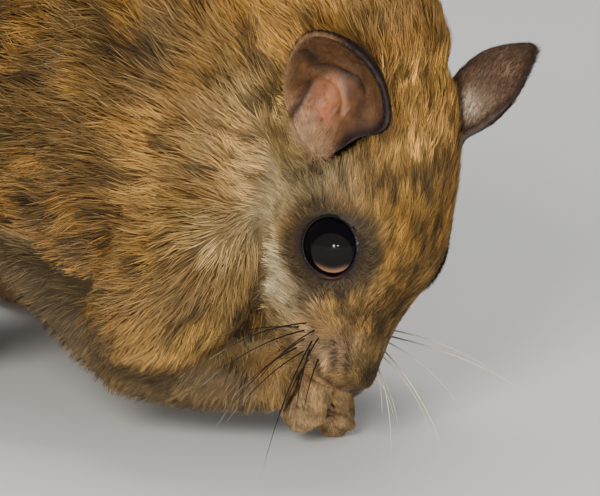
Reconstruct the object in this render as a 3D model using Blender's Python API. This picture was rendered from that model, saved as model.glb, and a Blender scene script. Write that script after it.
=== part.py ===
# Southern flying squirrel (Glaucomys volans), life size, crouched and eating with bowed head.
# The animal faces +X, its right side is at -Y, and it rests on the plane z = 0.
# Every size below is in millimetres; meshes are built in metres.

import math
import random

import bmesh
import bpy
import numpy as np
from mathutils import Matrix, Vector

MM = 0.001
JOINT_GAP = 0.3
WELD_DISTANCE = 0.01

# Head: its own axes are forward (to the nose), left and up (to the crown).
# Their origin lies between the tops of the two eyes.
HEAD_PLACE = (0.0, -1.0, 25.2)
HEAD_BOW = 82.0
HEAD_LEAN = -14.5

# forward, centre height, half width, height above the centre, depth below it
HEAD_SECTIONS = (
    (16.6, -4.5, 1.4, 1.0, 1.2),
    (16.2, -4.5, 2.8, 2.1, 2.6),
    (15.2, -5.1, 3.9, 3.0, 4.2),
    (13.4, -6.0, 5.0, 4.1, 6.4),
    (11.4, -6.5, 6.0, 4.8, 8.0),
    (9.0, -6.3, 6.9, 5.5, 9.4),
    (6.0, -5.7, 8.1, 7.0, 10.4),
    (3.0, -5.0, 9.4, 8.5, 11.0),
    (0.0, -4.7, 10.2, 9.7, 11.4),
    (-4.0, -4.4, 11.0, 10.3, 12.0),
    (-8.0, -4.2, 11.5, 10.7, 12.4),
    (-12.0, -4.2, 11.6, 10.8, 12.4),
    (-16.0, -4.4, 11.4, 10.7, 12.0),
    (-20.0, -4.8, 10.2, 9.8, 10.8),
    (-23.5, -5.4, 7.6, 7.4, 8.2),
    (-25.6, -6.0, 4.0, 3.8, 4.2),
)
HEAD_RINGS = 24
HEAD_SIDES = 30

# forward, angle round the head from the left side (90 is the crown), reach forward, reach round, height
HEAD_SWELLINGS = (
    (-1.0, -42.0, 6.5, 26.0, 1.5),
    (12.2, -26.0, 2.6, 30.0, 0.55),
    (13.0, -66.0, 2.0, 22.0, -0.5),
    (0.0, 48.0, 4.5, 16.0, 0.55),
    (6.5, 12.0, 2.4, 18.0, -0.5),
    (14.2, 90.0, 2.0, 40.0, 0.25),
)

EYE_RADIUS = 4.4
EYE_PLACE = (-0.6, 6.25, -2.6)
EYE_FORWARD_TURN = 12.0
EYE_UP_TURN = 23.0
LID_SETBACK = 2.75
LID_RING = 4.0
LID_THICKNESS = 0.58

# forward position and angle round the head of the line of the mouth, from its front to its corner
MOUTH_LINE = ((15.75, -78.0), (15.3, -60.0), (14.6, -47.0), (13.7, -41.0), (12.6, -38.0), (11.6, -36.0))
MOUTH_WIDTH = 0.42

NOSE_PLACE = (15.7, 0.0, -3.9)
NOSE_SIZE = (1.15, 1.55, 1.25)
NOSTRIL_PLACE = (16.6, 0.95, -4.1)
NOSTRIL_SIZE = (0.75, 0.34, 0.5)

# Ear: its axes are out (base to tip), wide (to the crown side) and open (the way the cup faces).
EAR_PLACE = (-14.0, 9.9, -0.3)
EAR_TIP_WAYS = {1: (-0.82, 0.50, 0.34), -1: (-0.67, 0.60, 0.44)}
EAR_OPEN_WAYS = {1: (0.75, 0.60, 0.25), -1: (0.50, 0.84, 0.05)}
EAR_LENGTH = 14.0
EAR_HALF_WIDTH = 6.4
EAR_CUP_DEPTHS = {1: 2.4, -1: 4.2}
EAR_RIM_THICKNESS = 0.55
EAR_ROOT_THICKNESS = 1.5
EAR_RINGS = 6
EAR_SIDES = 24
# angle round the rim from the crown side (90 is the tip), reach round, share added to the radius
EAR_OUTLINE = ((231.0, 32.0, 0.34), (300.0, 28.0, -0.2))
# the same for the notch in front, where the rim stands forward of its plane
EAR_NOTCH = (262.0, 34.0, 2.8)
EAR_CLEARANCE = 5.0

# x, centre height, half width, height above the centre, depth below it
TORSO_SECTIONS = (
    (-3.5, 34.0, 3.0, 4.0, 4.0),
    (-5.5, 33.5, 8.0, 12.0, 12.0),
    (-10.0, 34.0, 12.5, 22.0, 21.5),
    (-17.0, 34.0, 16.5, 26.5, 26.0),
    (-26.0, 32.5, 19.0, 29.0, 25.0),
    (-36.0, 30.5, 20.5, 30.5, 21.0),
    (-47.0, 28.0, 21.0, 29.5, 17.0),
    (-58.0, 25.0, 20.5, 26.0, 14.5),
    (-67.0, 21.5, 18.5, 20.5, 13.0),
    (-74.0, 18.0, 14.5, 14.5, 13.5),
    (-79.0, 15.5, 8.5, 8.5, 8.5),
    (-81.0, 14.5, 3.5, 3.5, 3.5),
)
TORSO_RINGS = 19
TORSO_SIDES = 26

# Neck: a quarter bend over a level axis, from behind the head to between the shoulders.
NECK_BEND_PLACE = (-17.5, 40.0)
NECK_BEND_RADIUS = 12.0
# degrees round the bend, half width, half depth, place to the left
NECK_SECTIONS = (
    (0.0, 8.4, 8.2, 3.0),
    (25.0, 10.6, 10.2, 2.8),
    (50.0, 11.6, 11.2, 2.2),
    (75.0, 12.2, 9.6, 1.4),
    (92.0, 10.0, 7.0, 1.0),
)
NECK_RINGS = 10
NECK_SIDES = 20

# x, y, z of the middle line, half width and half height of a limb
UPPER_ARM_LINE = (
    (-15.0, 10.5, 31.0, 6.0, 6.0),
    (-17.0, 12.8, 27.0, 8.8, 8.8),
    (-20.0, 15.0, 20.5, 8.8, 8.8),
    (-24.0, 17.0, 14.5, 7.4, 7.4),
    (-26.5, 18.0, 11.6, 5.0, 5.0),
)
FOREARM_LINE = (
    (-29.0, 17.6, 11.0, 3.0, 3.0),
    (-26.5, 17.0, 10.4, 4.6, 4.6),
    (-20.5, 13.2, 9.4, 4.8, 4.8),
)
WRISTS = {
    1: ((-15.2, 8.0, 7.6, 4.1, 4.1), (-11.6, 4.0, 5.8, 3.0, 3.0)),
    -1: ((-15.0, 8.8, 8.6, 4.2, 4.2), (-11.2, 6.2, 8.2, 3.2, 3.2)),
}
THIGH_LINE = (
    (-69.0, 9.5, 27.0, 7.0, 7.0),
    (-65.0, 11.5, 25.5, 9.4, 10.4),
    (-58.0, 14.5, 22.4, 8.8, 9.4),
    (-52.0, 16.0, 19.8, 6.8, 7.2),
    (-48.5, 16.6, 18.4, 3.8, 4.0),
)
SHANK_LINE = (
    (-50.0, 16.8, 15.6, 3.2, 3.2),
    (-54.0, 17.2, 13.8, 4.8, 4.8),
    (-62.0, 17.2, 11.0, 4.6, 4.6),
    (-70.0, 16.8, 8.0, 3.8, 3.8),
    (-76.0, 16.4, 5.4, 3.0, 3.0),
)
FOOT_LINE = (
    (-80.5, 16.2, 2.4, 1.8, 1.8),
    (-77.5, 16.5, 2.5, 2.9, 2.7),
    (-70.5, 17.2, 2.4, 3.1, 2.6),
    (-63.5, 18.0, 2.1, 3.7, 2.3),
    (-59.5, 18.4, 1.7, 3.2, 1.8),
)
TOE_ROOT = (-62.5, 18.1, 1.5)
TOE_LENGTHS = (6.6, 8.8, 9.6, 9.0, 6.8)
TOE_SPREAD = 11.0
TOE_GAP = 1.35
TOE_HEIGHTS = (0.0, 0.5, -0.35, -0.75)
TOE_RADIUS = 1.05

PALM_PLACES = {1: (-10.8, 1.3, 3.5), -1: (-10.6, -4.5, 5.6)}
PALM_SIZE = (2.7, 2.4, 3.7)
FINGER_COUNT = 4
FINGER_RADIUS = 0.82
# from the middle of the left palm to the root and the knuckle of its lowest finger,
# and from those to the next finger's
FINGER_ROOT = (0.0, 0.6, -1.3)
FINGER_ROOT_STEP = (0.0, 0.0, 0.9)
KNUCKLE = (0.925, 0.95, -2.0)
KNUCKLE_STEP = (0.25, -0.5, 1.45)
# from the knuckle to the bends and the tip of the finger
FINGER_BENDS = ((0.6, 0.4, 0.0), (1.6, -1.4, 0.5), (0.8, -2.7, 1.2))

# Gliding membrane: its free lower edge and the line where it leaves arm, flank and leg.
MEMBRANE_EDGE = (
    (-13.0, 8.0, 5.2),
    (-16.5, 11.5, 6.4),
    (-20.5, 15.5, 6.2),
    (-25.4, 19.5, 6.0),
    (-31.4, 23.0, 11.9),
    (-35.8, 24.0, 15.8),
    (-40.0, 24.8, 19.0),
    (-47.0, 25.8, 21.4),
    (-56.0, 26.0, 19.6),
    (-64.0, 24.0, 15.4),
    (-72.0, 19.6, 9.2),
    (-76.0, 17.8, 6.2),
)
MEMBRANE_ROOT = (
    (-14.0, 6.4, 9.6),
    (-17.5, 9.4, 11.4),
    (-21.0, 12.5, 12.2),
    (-25.4, 15.5, 12.6),
    (-30.6, 17.4, 17.4),
    (-35.4, 18.2, 21.4),
    (-40.0, 19.0, 25.0),
    (-47.0, 20.4, 28.0),
    (-56.0, 20.6, 27.6),
    (-64.0, 18.4, 23.6),
    (-72.0, 15.0, 15.6),
    (-76.0, 16.2, 9.4),
)
MEMBRANE_THICKNESS = 2.8

# x, y, z of the tail's middle line, half width and half height of its dense middle,
# and half width out to the tips of its long side hair
TAIL_LINE = (
    (-76.0, 0.0, 15.5, 4.0, 4.0, 4.0),
    (-81.0, 0.0, 11.5, 4.8, 4.6, 4.8),
    (-87.0, 0.4, 6.8, 5.4, 4.6, 7.6),
    (-95.0, 1.4, 4.0, 6.4, 4.1, 11.0),
    (-108.0, 3.6, 3.5, 7.0, 3.7, 13.0),
    (-125.0, 6.2, 3.3, 7.0, 3.5, 13.6),
    (-145.0, 7.6, 3.0, 6.4, 3.2, 13.0),
    (-160.0, 6.8, 2.6, 5.0, 2.8, 10.4),
    (-168.0, 5.6, 2.2, 3.4, 2.3, 8.0),
    (-172.0, 4.8, 1.8, 1.8, 1.6, 6.0),
)
TAIL_LENGTH = 97.0
TAIL_SEED = 7
SIDE_LOCKS = 16
SIDE_LOCK_SPAN = (0.16, 0.93)
# angle from the tail's line, its share at the root and the tip, and where on the way the lock starts
SIDE_LOCK_SWEEP = 31.0
SIDE_LOCK_BEND = (0.8, 1.15)
SIDE_LOCK_START = 0.34
TOP_LOCKS = 6
TOP_LOCK_SPAN = (0.2, 0.84)
TOP_LOCK_LENGTH = 17.0
# distance from the tail's line at the root, and the share of the hair's reach at the tip
TOP_LOCK_ROOT = 1.2
TOP_LOCK_REACH = 0.42
TIP_LOCKS = 5
TIP_LOCK_PLACE = 0.955
TIP_LOCK_LENGTH = 15.0
TIP_LOCK_FAN = 17.0
LOCK_HALF_WIDTH = 2.9
LOCK_WIDTHS = (0.85, 1.0, 0.85, 0.14)
LOCK_HALF_HEIGHT = 0.95
LOCK_POINTS = 4
LOCK_TIP_HEIGHT = 1.1

FUR = (0.42, 0.27, 0.11, 1.0)
BARE_SKIN = (0.45, 0.29, 0.21, 1.0)
MEMBRANE_FUR = (0.21, 0.17, 0.13, 1.0)
EYE_BLACK = (0.012, 0.01, 0.01, 1.0)


def remove_everything():
    for old in list(bpy.data.objects):
        bpy.data.objects.remove(old, do_unlink=True)


def head_matrix():
    """Turns head coordinates (forward, left, up) in mm into the animal's own."""
    lean = Matrix.Rotation(math.radians(HEAD_LEAN), 4, 'X')
    bow = Matrix.Rotation(math.radians(HEAD_BOW), 4, 'Y')
    return Matrix.Translation(HEAD_PLACE) @ lean @ bow


def smooth_rows(rows, count):
    """Catmull-Rom curve through the rows, read at evenly spaced parameters."""
    table = np.array(rows, dtype=float)
    first = 2 * table[0] - table[1]
    last = 2 * table[-1] - table[-2]
    padded = np.vstack([first, table, last])
    result = []
    for step in np.linspace(0.0, len(table) - 1.0, count):
        index = min(int(step), len(table) - 2)
        t = step - index
        a, b, c, d = padded[index:index + 4]
        point = 0.5 * (2 * b + (c - a) * t + (2 * a - 5 * b + 4 * c - d) * t ** 2
                       + (3 * b - a - 3 * c + d) * t ** 3)
        result.append(point)
    return np.array(result)


def new_object(name, points, faces, colour, roughness=0.9):
    """Closed mesh object from points in mm; its faces are turned outward."""
    mesh = bpy.data.meshes.new(name)
    mesh.from_pydata([tuple(float(v) * MM for v in point) for point in points], [], faces)
    shape = bmesh.new()
    shape.from_mesh(mesh)
    bmesh.ops.recalc_face_normals(shape, faces=shape.faces)
    shape.to_mesh(mesh)
    shape.free()
    obj = bpy.data.objects.new(name, mesh)
    bpy.context.scene.collection.objects.link(obj)
    material = bpy.data.materials.new(name)
    material.use_nodes = True
    shader = material.node_tree.nodes["Principled BSDF"]
    shader.inputs["Base Color"].default_value = colour
    shader.inputs["Roughness"].default_value = roughness
    shader.inputs["Metallic"].default_value = 0.0
    mesh.materials.append(material)
    return obj


def ring_faces(ring_count, sides):
    """Quads between neighbouring rings and a fan of triangles on each end."""
    faces = []
    for ring in range(ring_count - 1):
        for side in range(sides):
            after = (side + 1) % sides
            low = ring * sides
            high = low + sides
            faces.append((low + side, low + after, high + after, high + side))
    first_cap = ring_count * sides
    last_cap = first_cap + 1
    last_ring = (ring_count - 1) * sides
    for side in range(sides):
        after = (side + 1) % sides
        faces.append((first_cap, after, side))
        faces.append((last_cap, last_ring + side, last_ring + after))
    return faces


def loft(name, rings, colour, bulge=0.5):
    """Closed body through a stack of rings, with low rounded ends."""
    rings = np.asarray(rings, dtype=float)
    count, sides = rings.shape[:2]
    middles = rings.mean(axis=1)
    points = list(rings.reshape(-1, 3))
    for end, inner in ((0, 1), (-1, -2)):
        radius = np.linalg.norm(rings[end] - middles[end], axis=1).mean()
        way = middles[end] - middles[inner]
        way = way / np.linalg.norm(way)
        points.append(middles[end] + way * radius * bulge)
    return new_object(name, points, ring_faces(count, sides), colour)


def tube_rings(rows, count, sides):
    """Elliptical rings across a line of (x, y, z, half width, half height) rows."""
    line = smooth_rows(rows, count)
    centres = line[:, :3]
    tangents = np.gradient(centres, axis=0)
    angles = np.linspace(0.0, 2 * math.pi, sides, endpoint=False)
    rings = []
    for centre, tangent, (half_width, half_height) in zip(centres, tangents, line[:, 3:5]):
        tangent = tangent / np.linalg.norm(tangent)
        wide = np.cross(tangent, (0.0, 0.0, 1.0))
        wide = wide / max(np.linalg.norm(wide), 1e-6)
        high = np.cross(wide, tangent)
        rings.append([centre + wide * half_width * math.cos(a) + high * half_height * math.sin(a)
                      for a in angles])
    return np.array(rings)


def mirrored(rows, side):
    """Rows written for the left side, moved to the side asked for (+1 left, -1 right)."""
    return [(row[0], row[1] * side) + tuple(row[2:]) for row in rows]


def tube(name, rows, count, sides, colour):
    return loft(name, tube_rings(rows, count, sides), colour)


def ellipsoid(name, centre, size, colour, turn=None, segments=16, rings=10):
    """Ellipsoid at a place in mm, with half sizes along the axes of turn."""
    turn = turn or Matrix.Identity(3)
    shape = bmesh.new()
    bmesh.ops.create_uvsphere(shape, u_segments=segments, v_segments=rings, radius=1.0)
    shape.verts.ensure_lookup_table()
    points = []
    for vert in shape.verts:
        local = Vector((vert.co.x * size[0], vert.co.y * size[1], vert.co.z * size[2]))
        points.append(Vector(centre) + turn @ local)
    faces = [tuple(v.index for v in face.verts) for face in shape.faces]
    shape.free()
    return new_object(name, points, faces, colour)


def replace_mesh(obj, mesh):
    old = obj.data
    obj.modifiers.clear()
    obj.data = mesh
    bpy.data.meshes.remove(old)


def keep_largest_surface(mesh):
    """Drops every loose surface but the one with the largest volume inside."""
    shape = bmesh.new()
    shape.from_mesh(mesh)
    unseen = set(shape.verts)
    groups = []
    while unseen:
        stack = [unseen.pop()]
        group = set(stack)
        while stack:
            vert = stack.pop()
            for edge in vert.link_edges:
                other = edge.other_vert(vert)
                if other in unseen:
                    unseen.discard(other)
                    group.add(other)
                    stack.append(other)
        groups.append(group)

    def volume(group):
        total = 0.0
        for face in {face for vert in group for face in vert.link_faces}:
            corners = [vert.co for vert in face.verts]
            for second, third in zip(corners[1:], corners[2:]):
                total += corners[0].dot(second.cross(third))
        return total

    largest = max(groups, key=volume)
    spare = [vert for vert in shape.verts if vert not in largest]
    bmesh.ops.delete(shape, geom=spare, context='VERTS')
    bmesh.ops.triangulate(shape, faces=shape.faces)
    bmesh.ops.dissolve_degenerate(shape, dist=WELD_DISTANCE * MM, edges=shape.edges)
    bmesh.ops.triangulate(shape, faces=shape.faces)
    shape.to_mesh(mesh)
    shape.free()


def combine(obj, others, operation, keep_others=False):
    """Boolean of one object with others, one after another, by the exact solver."""
    for other in others:
        modifier = obj.modifiers.new(other.name, 'BOOLEAN')
        modifier.operation = operation
        modifier.solver = 'EXACT'
        modifier.object = other
    graph = bpy.context.evaluated_depsgraph_get()
    mesh = bpy.data.meshes.new_from_object(obj.evaluated_get(graph))
    replace_mesh(obj, mesh)
    keep_largest_surface(obj.data)
    if not keep_others:
        for other in others:
            bpy.data.objects.remove(other, do_unlink=True)


def fuse(obj, pieces):
    """Joins many overlapping closed pieces to an object by one Boolean union."""
    group = bpy.data.collections.new("pieces")
    for piece in pieces:
        group.objects.link(piece)
    modifier = obj.modifiers.new("pieces", 'BOOLEAN')
    modifier.operation = 'UNION'
    modifier.solver = 'MANIFOLD'
    modifier.operand_type = 'COLLECTION'
    modifier.collection = group
    graph = bpy.context.evaluated_depsgraph_get()
    mesh = bpy.data.meshes.new_from_object(obj.evaluated_get(graph))
    replace_mesh(obj, mesh)
    keep_largest_surface(obj.data)
    for piece in pieces:
        bpy.data.objects.remove(piece, do_unlink=True)
    bpy.data.collections.remove(group)


def enlarged(obj, amount):
    """Copy of an object grown outward along its normals by an amount in mm."""
    copy = obj.copy()
    copy.data = obj.data.copy()
    bpy.context.scene.collection.objects.link(copy)
    normals = [vert.normal.copy() for vert in copy.data.vertices]
    for vert, normal in zip(copy.data.vertices, normals):
        vert.co += normal * amount * MM
    return copy


def bounds(obj):
    points = np.array([vert.co for vert in obj.data.vertices])
    return points.min(axis=0), points.max(axis=0)


def part_from_neighbours(obj, cutters):
    """Cuts an object back by every enlarged neighbour that its box meets."""
    low, high = bounds(obj)
    near = []
    for cutter in cutters:
        cutter_low, cutter_high = bounds(cutter)
        if np.all(low < cutter_high) and np.all(high > cutter_low):
            near.append(cutter)
    if near:
        combine(obj, near, 'DIFFERENCE', keep_others=True)


def cut_at_floor(obj):
    """Flat underside at z = 0 where an object reaches below it."""
    low, high = bounds(obj)
    if low[2] >= 0.0:
        return
    depth = 12.0
    middle = (low + high) / 2 / MM
    half = (high - low) / MM + 4.0
    points = [(middle[0] + half[0] * x, middle[1] + half[1] * y, z)
              for x in (-1, 1) for y in (-1, 1) for z in (-depth, 0.0)]
    faces = [(0, 1, 3, 2), (4, 6, 7, 5), (0, 4, 5, 1), (2, 3, 7, 6), (0, 2, 6, 4), (1, 5, 7, 3)]
    combine(obj, [new_object("floor_cut", points, faces, FUR)], 'DIFFERENCE')


def head_point(forward, degrees):
    """Point of the head's surface in head coordinates, without lids or nose."""
    rows = np.array(HEAD_SECTIONS)
    order = rows[::-1]
    centre, half_width, top, bottom = (np.interp(forward, order[:, 0], order[:, k]) for k in range(1, 5))
    return head_row_point((forward, centre, half_width, top, bottom), degrees)


def head_row_point(row, degrees):
    forward, centre, half_width, top, bottom = row
    angle = math.radians(degrees)
    height = top if math.sin(angle) > 0 else bottom
    flat = Vector((0.0, half_width * math.cos(angle), height * math.sin(angle)))
    outward = flat.normalized()
    swell = 0.0
    for place, around, reach, reach_around, amount in HEAD_SWELLINGS:
        for mirror in (around, 180.0 - around):
            off = (degrees - mirror + 180.0) % 360.0 - 180.0
            swell += amount * math.exp(-((forward - place) / reach) ** 2 - (off / reach_around) ** 2)
            if around == 90.0:
                break
    return Vector((forward, 0.0, centre)) + flat + outward * swell


def head_loft(name, ring_count, sides):
    place = head_matrix()
    rings = []
    for row in smooth_rows(HEAD_SECTIONS, ring_count):
        rings.append([place @ head_row_point(row, 360.0 * side / sides) for side in range(sides)])
    return loft(name, rings, FUR)


def make_head(ear_rooms):
    place = head_matrix()
    head = head_loft("head", HEAD_RINGS, HEAD_SIDES)
    extras = [make_lid(side) for side in (1, -1)]
    extras.append(ellipsoid("nose", place @ Vector(NOSE_PLACE), NOSE_SIZE, BARE_SKIN, place.to_3x3(), 12, 8))
    combine(head, extras, 'UNION')
    cutters = [make_eye("socket", side, EYE_RADIUS + JOINT_GAP) for side in (1, -1)]
    cutters.append(make_mouth_groove())
    for side in (1, -1):
        spot = Vector(NOSTRIL_PLACE)
        spot.y *= side
        cutters.append(ellipsoid("nostril", place @ spot, NOSTRIL_SIZE, BARE_SKIN, place.to_3x3(), 10, 6))
    combine(head, cutters, 'DIFFERENCE')
    combine(head, ear_rooms, 'DIFFERENCE', keep_others=True)
    return head


def eye_way(side):
    """Direction in head coordinates that an eye looks to."""
    forward = math.radians(EYE_FORWARD_TURN)
    up = math.radians(EYE_UP_TURN)
    across = math.cos(forward)
    return Vector((math.sin(forward), side * across * math.cos(up), across * math.sin(up)))


def eye_centre(side):
    return Vector((EYE_PLACE[0], EYE_PLACE[1] * side, EYE_PLACE[2]))


def make_eye(name, side, radius):
    place = head_matrix()
    turn = place.to_3x3() @ eye_way(side).to_track_quat('Z', 'X').to_matrix()
    return ellipsoid(name, place @ eye_centre(side), (radius,) * 3, EYE_BLACK, turn, 18, 10)


def make_lid(side):
    """Ring of both lids, drawn out a little at the front corner of the eye."""
    place = head_matrix()
    way = eye_way(side)
    turn = way.to_track_quat('Z', 'X').to_matrix()
    ring_count = 22
    sides = 6
    middle = eye_centre(side) + way * LID_SETBACK
    front = turn.inverted() @ Vector((1.0, 0.0, 0.0))
    front_angle = math.atan2(front.y, front.x)
    points = []
    for ring in range(ring_count):
        angle = 2 * math.pi * ring / ring_count
        corner = 0.45 * max(0.0, math.cos(angle - front_angle)) ** 8
        radial = Vector((math.cos(angle), math.sin(angle), 0.0))
        centre = radial * (LID_RING + corner)
        for step in range(sides):
            around = 2 * math.pi * step / sides
            offset = radial * math.cos(around) + Vector((0.0, 0.0, math.sin(around)))
            points.append(place @ (middle + turn @ (centre + offset * LID_THICKNESS)))
    faces = []
    for ring in range(ring_count):
        for step in range(sides):
            low = ring * sides
            high = (ring + 1) % ring_count * sides
            after = (step + 1) % sides
            faces.append((low + step, low + after, high + after, high + step))
    return new_object("lid", points, faces, BARE_SKIN)


def make_mouth_groove():
    """Thin tube along the line of the mouth, sunk half way into the muzzle."""
    place = head_matrix()
    right_half = [(forward, 180.0 - angle) for forward, angle in reversed(MOUTH_LINE)]
    rows = []
    for forward, angle in right_half + list(MOUTH_LINE):
        point = place @ head_point(forward, angle)
        rows.append(tuple(point) + (MOUTH_WIDTH, MOUTH_WIDTH))
    return tube("mouth_groove", rows, 22, 6, BARE_SKIN)


def ear_axes(side):
    mirror = Vector((1.0, side, 1.0))
    tip = (Vector(EAR_TIP_WAYS[side]) * mirror).normalized()
    opening = Vector(EAR_OPEN_WAYS[side]) * mirror
    opening = (opening - tip * opening.dot(tip)).normalized()
    wide = tip.cross(opening) * side
    if wide.z < 0:
        wide = -wide
    return tip, wide, opening


def ear_point(side, radius, angle, thickness):
    """Point of the ear's cup at a share of its radius, or that far behind its face, in the animal's axes."""
    tip, wide, opening = ear_axes(side)
    base = Vector((EAR_PLACE[0], EAR_PLACE[1] * side, EAR_PLACE[2]))
    degrees = math.degrees(angle) % 360.0
    up_part = math.sin(angle)
    across = math.cos(angle)
    stretch = 1.0
    for middle, reach, amount in EAR_OUTLINE:
        stretch += amount * math.exp(-((degrees - middle) / reach) ** 2)
    reach_up = EAR_LENGTH * (0.58 if up_part > 0 else 0.62)
    width = EAR_HALF_WIDTH * across * radius * stretch
    height = EAR_LENGTH * 0.42 + reach_up * up_part * radius * stretch
    cup = -EAR_CUP_DEPTHS[side] * (1.0 - radius ** 2.2)
    lean = 3.0 * max(0.0, up_part * radius - 0.35) ** 2
    side_roll = 1.1 * (abs(across) * radius) ** 3
    notch = EAR_NOTCH[2] * math.exp(-((degrees - EAR_NOTCH[0]) / EAR_NOTCH[1]) ** 2) * radius ** 2
    behind = Vector((across * 0.55 * radius, up_part * 0.55 * radius, -1.0)).normalized() * thickness
    local = Vector((width, height, cup + lean + side_roll + notch)) + behind
    return head_matrix() @ (base + wide * local.x + tip * local.y + opening * local.z)


def ear_thickness(radius, angle):
    """Thickest at the root and in the middle of the cup, thin along the rim."""
    root = max(0.0, 1.0 - (1.0 + radius * math.sin(angle)) / 1.1)
    return EAR_RIM_THICKNESS + (EAR_ROOT_THICKNESS - EAR_RIM_THICKNESS) * max(root, 1 - radius)


def ear_angles():
    return [2 * math.pi * step / EAR_SIDES for step in range(EAR_SIDES)]


def make_ear(side):
    """Cupped shell whose two faces are split into triangles alike."""
    points = []
    for back in (0, 1):
        for ring in range(1, EAR_RINGS + 1):
            radius = ring / EAR_RINGS
            points += [ear_point(side, radius, angle, ear_thickness(radius, angle) * back)
                       for angle in ear_angles()]
    front_centre = len(points)
    points.append(ear_point(side, 0.0, 0.0, 0.0))
    points.append(ear_point(side, 0.0, 0.0, EAR_ROOT_THICKNESS))
    layer = EAR_RINGS * EAR_SIDES
    faces = []
    for step in range(EAR_SIDES):
        after = (step + 1) % EAR_SIDES
        faces.append((front_centre, step, after))
        faces.append((front_centre + 1, layer + after, layer + step))
        for ring in range(EAR_RINGS - 1):
            a = ring * EAR_SIDES + step
            b = ring * EAR_SIDES + after
            c = b + EAR_SIDES
            d = a + EAR_SIDES
            faces += [(a, d, c), (a, c, b)]
            faces += [(layer + a, layer + c, layer + d), (layer + a, layer + b, layer + c)]
        rim = (EAR_RINGS - 1) * EAR_SIDES
        a, b = rim + step, rim + after
        faces += [(a, layer + a, layer + b), (a, layer + b, b)]
    return new_object("ear_left" if side > 0 else "ear_right", points, faces, BARE_SKIN)


def make_ear_room(side):
    """Closed body of the ear's cup, its wall and the room in front, with the gap that keeps others clear."""
    opening = head_matrix().to_3x3() @ ear_axes(side)[2]
    outer = 1.08
    rings = []
    for radius in [ring / EAR_RINGS for ring in range(1, EAR_RINGS + 1)] + [outer]:
        rings.append([ear_point(side, radius, angle, ear_thickness(min(radius, 1.0), angle) + JOINT_GAP)
                      for angle in ear_angles()])
    rings.append([ear_point(side, outer, angle, 0.0) + opening * EAR_CLEARANCE for angle in ear_angles()])
    return loft("ear_room", rings, BARE_SKIN, 0.25)


def make_neck():
    rings = []
    for degrees, half_width, half_depth, shift in smooth_rows(NECK_SECTIONS, NECK_RINGS):
        sweep = math.radians(degrees)
        out = Vector((math.cos(sweep), 0.0, math.sin(sweep)))
        middle = Vector((NECK_BEND_PLACE[0], shift, NECK_BEND_PLACE[1])) + out * NECK_BEND_RADIUS
        ring = []
        for side in range(NECK_SIDES):
            angle = 2 * math.pi * side / NECK_SIDES
            across = Vector((0.0, half_width * math.cos(angle), 0.0))
            ring.append(middle + across + out * half_depth * math.sin(angle))
        rings.append(ring)
    return loft("neck", rings, FUR, 0.2)


def torso_loft(name, ring_count, sides):
    rings = []
    for x, centre, half_width, top, bottom in smooth_rows(TORSO_SECTIONS, ring_count):
        ring = []
        for step in range(sides):
            angle = 2 * math.pi * step / sides
            height = top if math.sin(angle) > 0 else bottom
            ring.append((x, half_width * math.cos(angle), centre + height * math.sin(angle)))
        rings.append(ring)
    return loft(name, rings, FUR)


def make_membrane(side):
    """Thick soft fold from wrist to ankle, between its free edge and its root."""
    edge = smooth_rows(mirrored(MEMBRANE_EDGE, side), 22)
    root = smooth_rows(mirrored(MEMBRANE_ROOT, side), 22)
    tangents = np.gradient(edge, axis=0)
    sides = 10
    rings = []
    for low, high, tangent in zip(edge, root, tangents):
        middle = (low + high) / 2
        half = (high - low) / 2
        out = np.cross(tangent, half)
        out = out / np.linalg.norm(out)
        ring = []
        for step in range(sides):
            angle = 2 * math.pi * step / sides
            across = math.sin(angle) * MEMBRANE_THICKNESS / 2
            ring.append(middle + half * math.cos(angle) + out * across)
        rings.append(ring)
    return loft("patagium_left" if side > 0 else "patagium_right", rings, MEMBRANE_FUR, 0.2)


def bent_digit(name, points, radius, tip_radius, colour):
    """Short tapered tube through a few points."""
    count = len(points)
    rows = []
    for index, point in enumerate(points):
        size = radius + (tip_radius - radius) * index / (count - 1)
        rows.append(tuple(point) + (size, size))
    return tube(name, rows, 6, 6, colour)


def make_hand(side):
    """Palm with four fingers curled up in front of the mouth."""
    palm = Vector(PALM_PLACES[side])
    mirror = Vector((1.0, side, 1.0))
    name = "hand_left" if side > 0 else "hand_right"
    hand = ellipsoid(name, palm, PALM_SIZE, BARE_SKIN, None, 14, 10)
    fingers = []
    for finger in range(FINGER_COUNT):
        root = Vector(FINGER_ROOT) + Vector(FINGER_ROOT_STEP) * finger
        knuckle = Vector(KNUCKLE) + Vector(KNUCKLE_STEP) * finger
        offsets = [root] + [knuckle + Vector(bend) for bend in FINGER_BENDS]
        points = [palm + offset * mirror for offset in offsets]
        fingers.append(bent_digit("finger", points, FINGER_RADIUS, FINGER_RADIUS * 0.7, BARE_SKIN))
    fuse(hand, fingers)
    return hand


def make_foot(side):
    """Long hind foot lying flat, with five toes spread forward."""
    name = "foot_left" if side > 0 else "foot_right"
    foot = tube(name, mirrored(FOOT_LINE, side), 9, 12, BARE_SKIN)
    toes = []
    for toe, length in enumerate(TOE_LENGTHS):
        turn = math.radians(TOE_SPREAD * (toe - 2))
        root = Vector((TOE_ROOT[0], side * (TOE_ROOT[1] + TOE_GAP * (toe - 2)), TOE_ROOT[2]))
        way = Vector((math.cos(turn), side * math.sin(turn), 0.0))
        points = []
        for step, height in enumerate(TOE_HEIGHTS):
            along = step / (len(TOE_HEIGHTS) - 1)
            points.append(root + way * length * along + Vector((0.0, 0.0, height)))
        toes.append(bent_digit("toe", points, TOE_RADIUS, TOE_RADIUS * 0.62, BARE_SKIN))
    fuse(foot, toes)
    return foot


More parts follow.
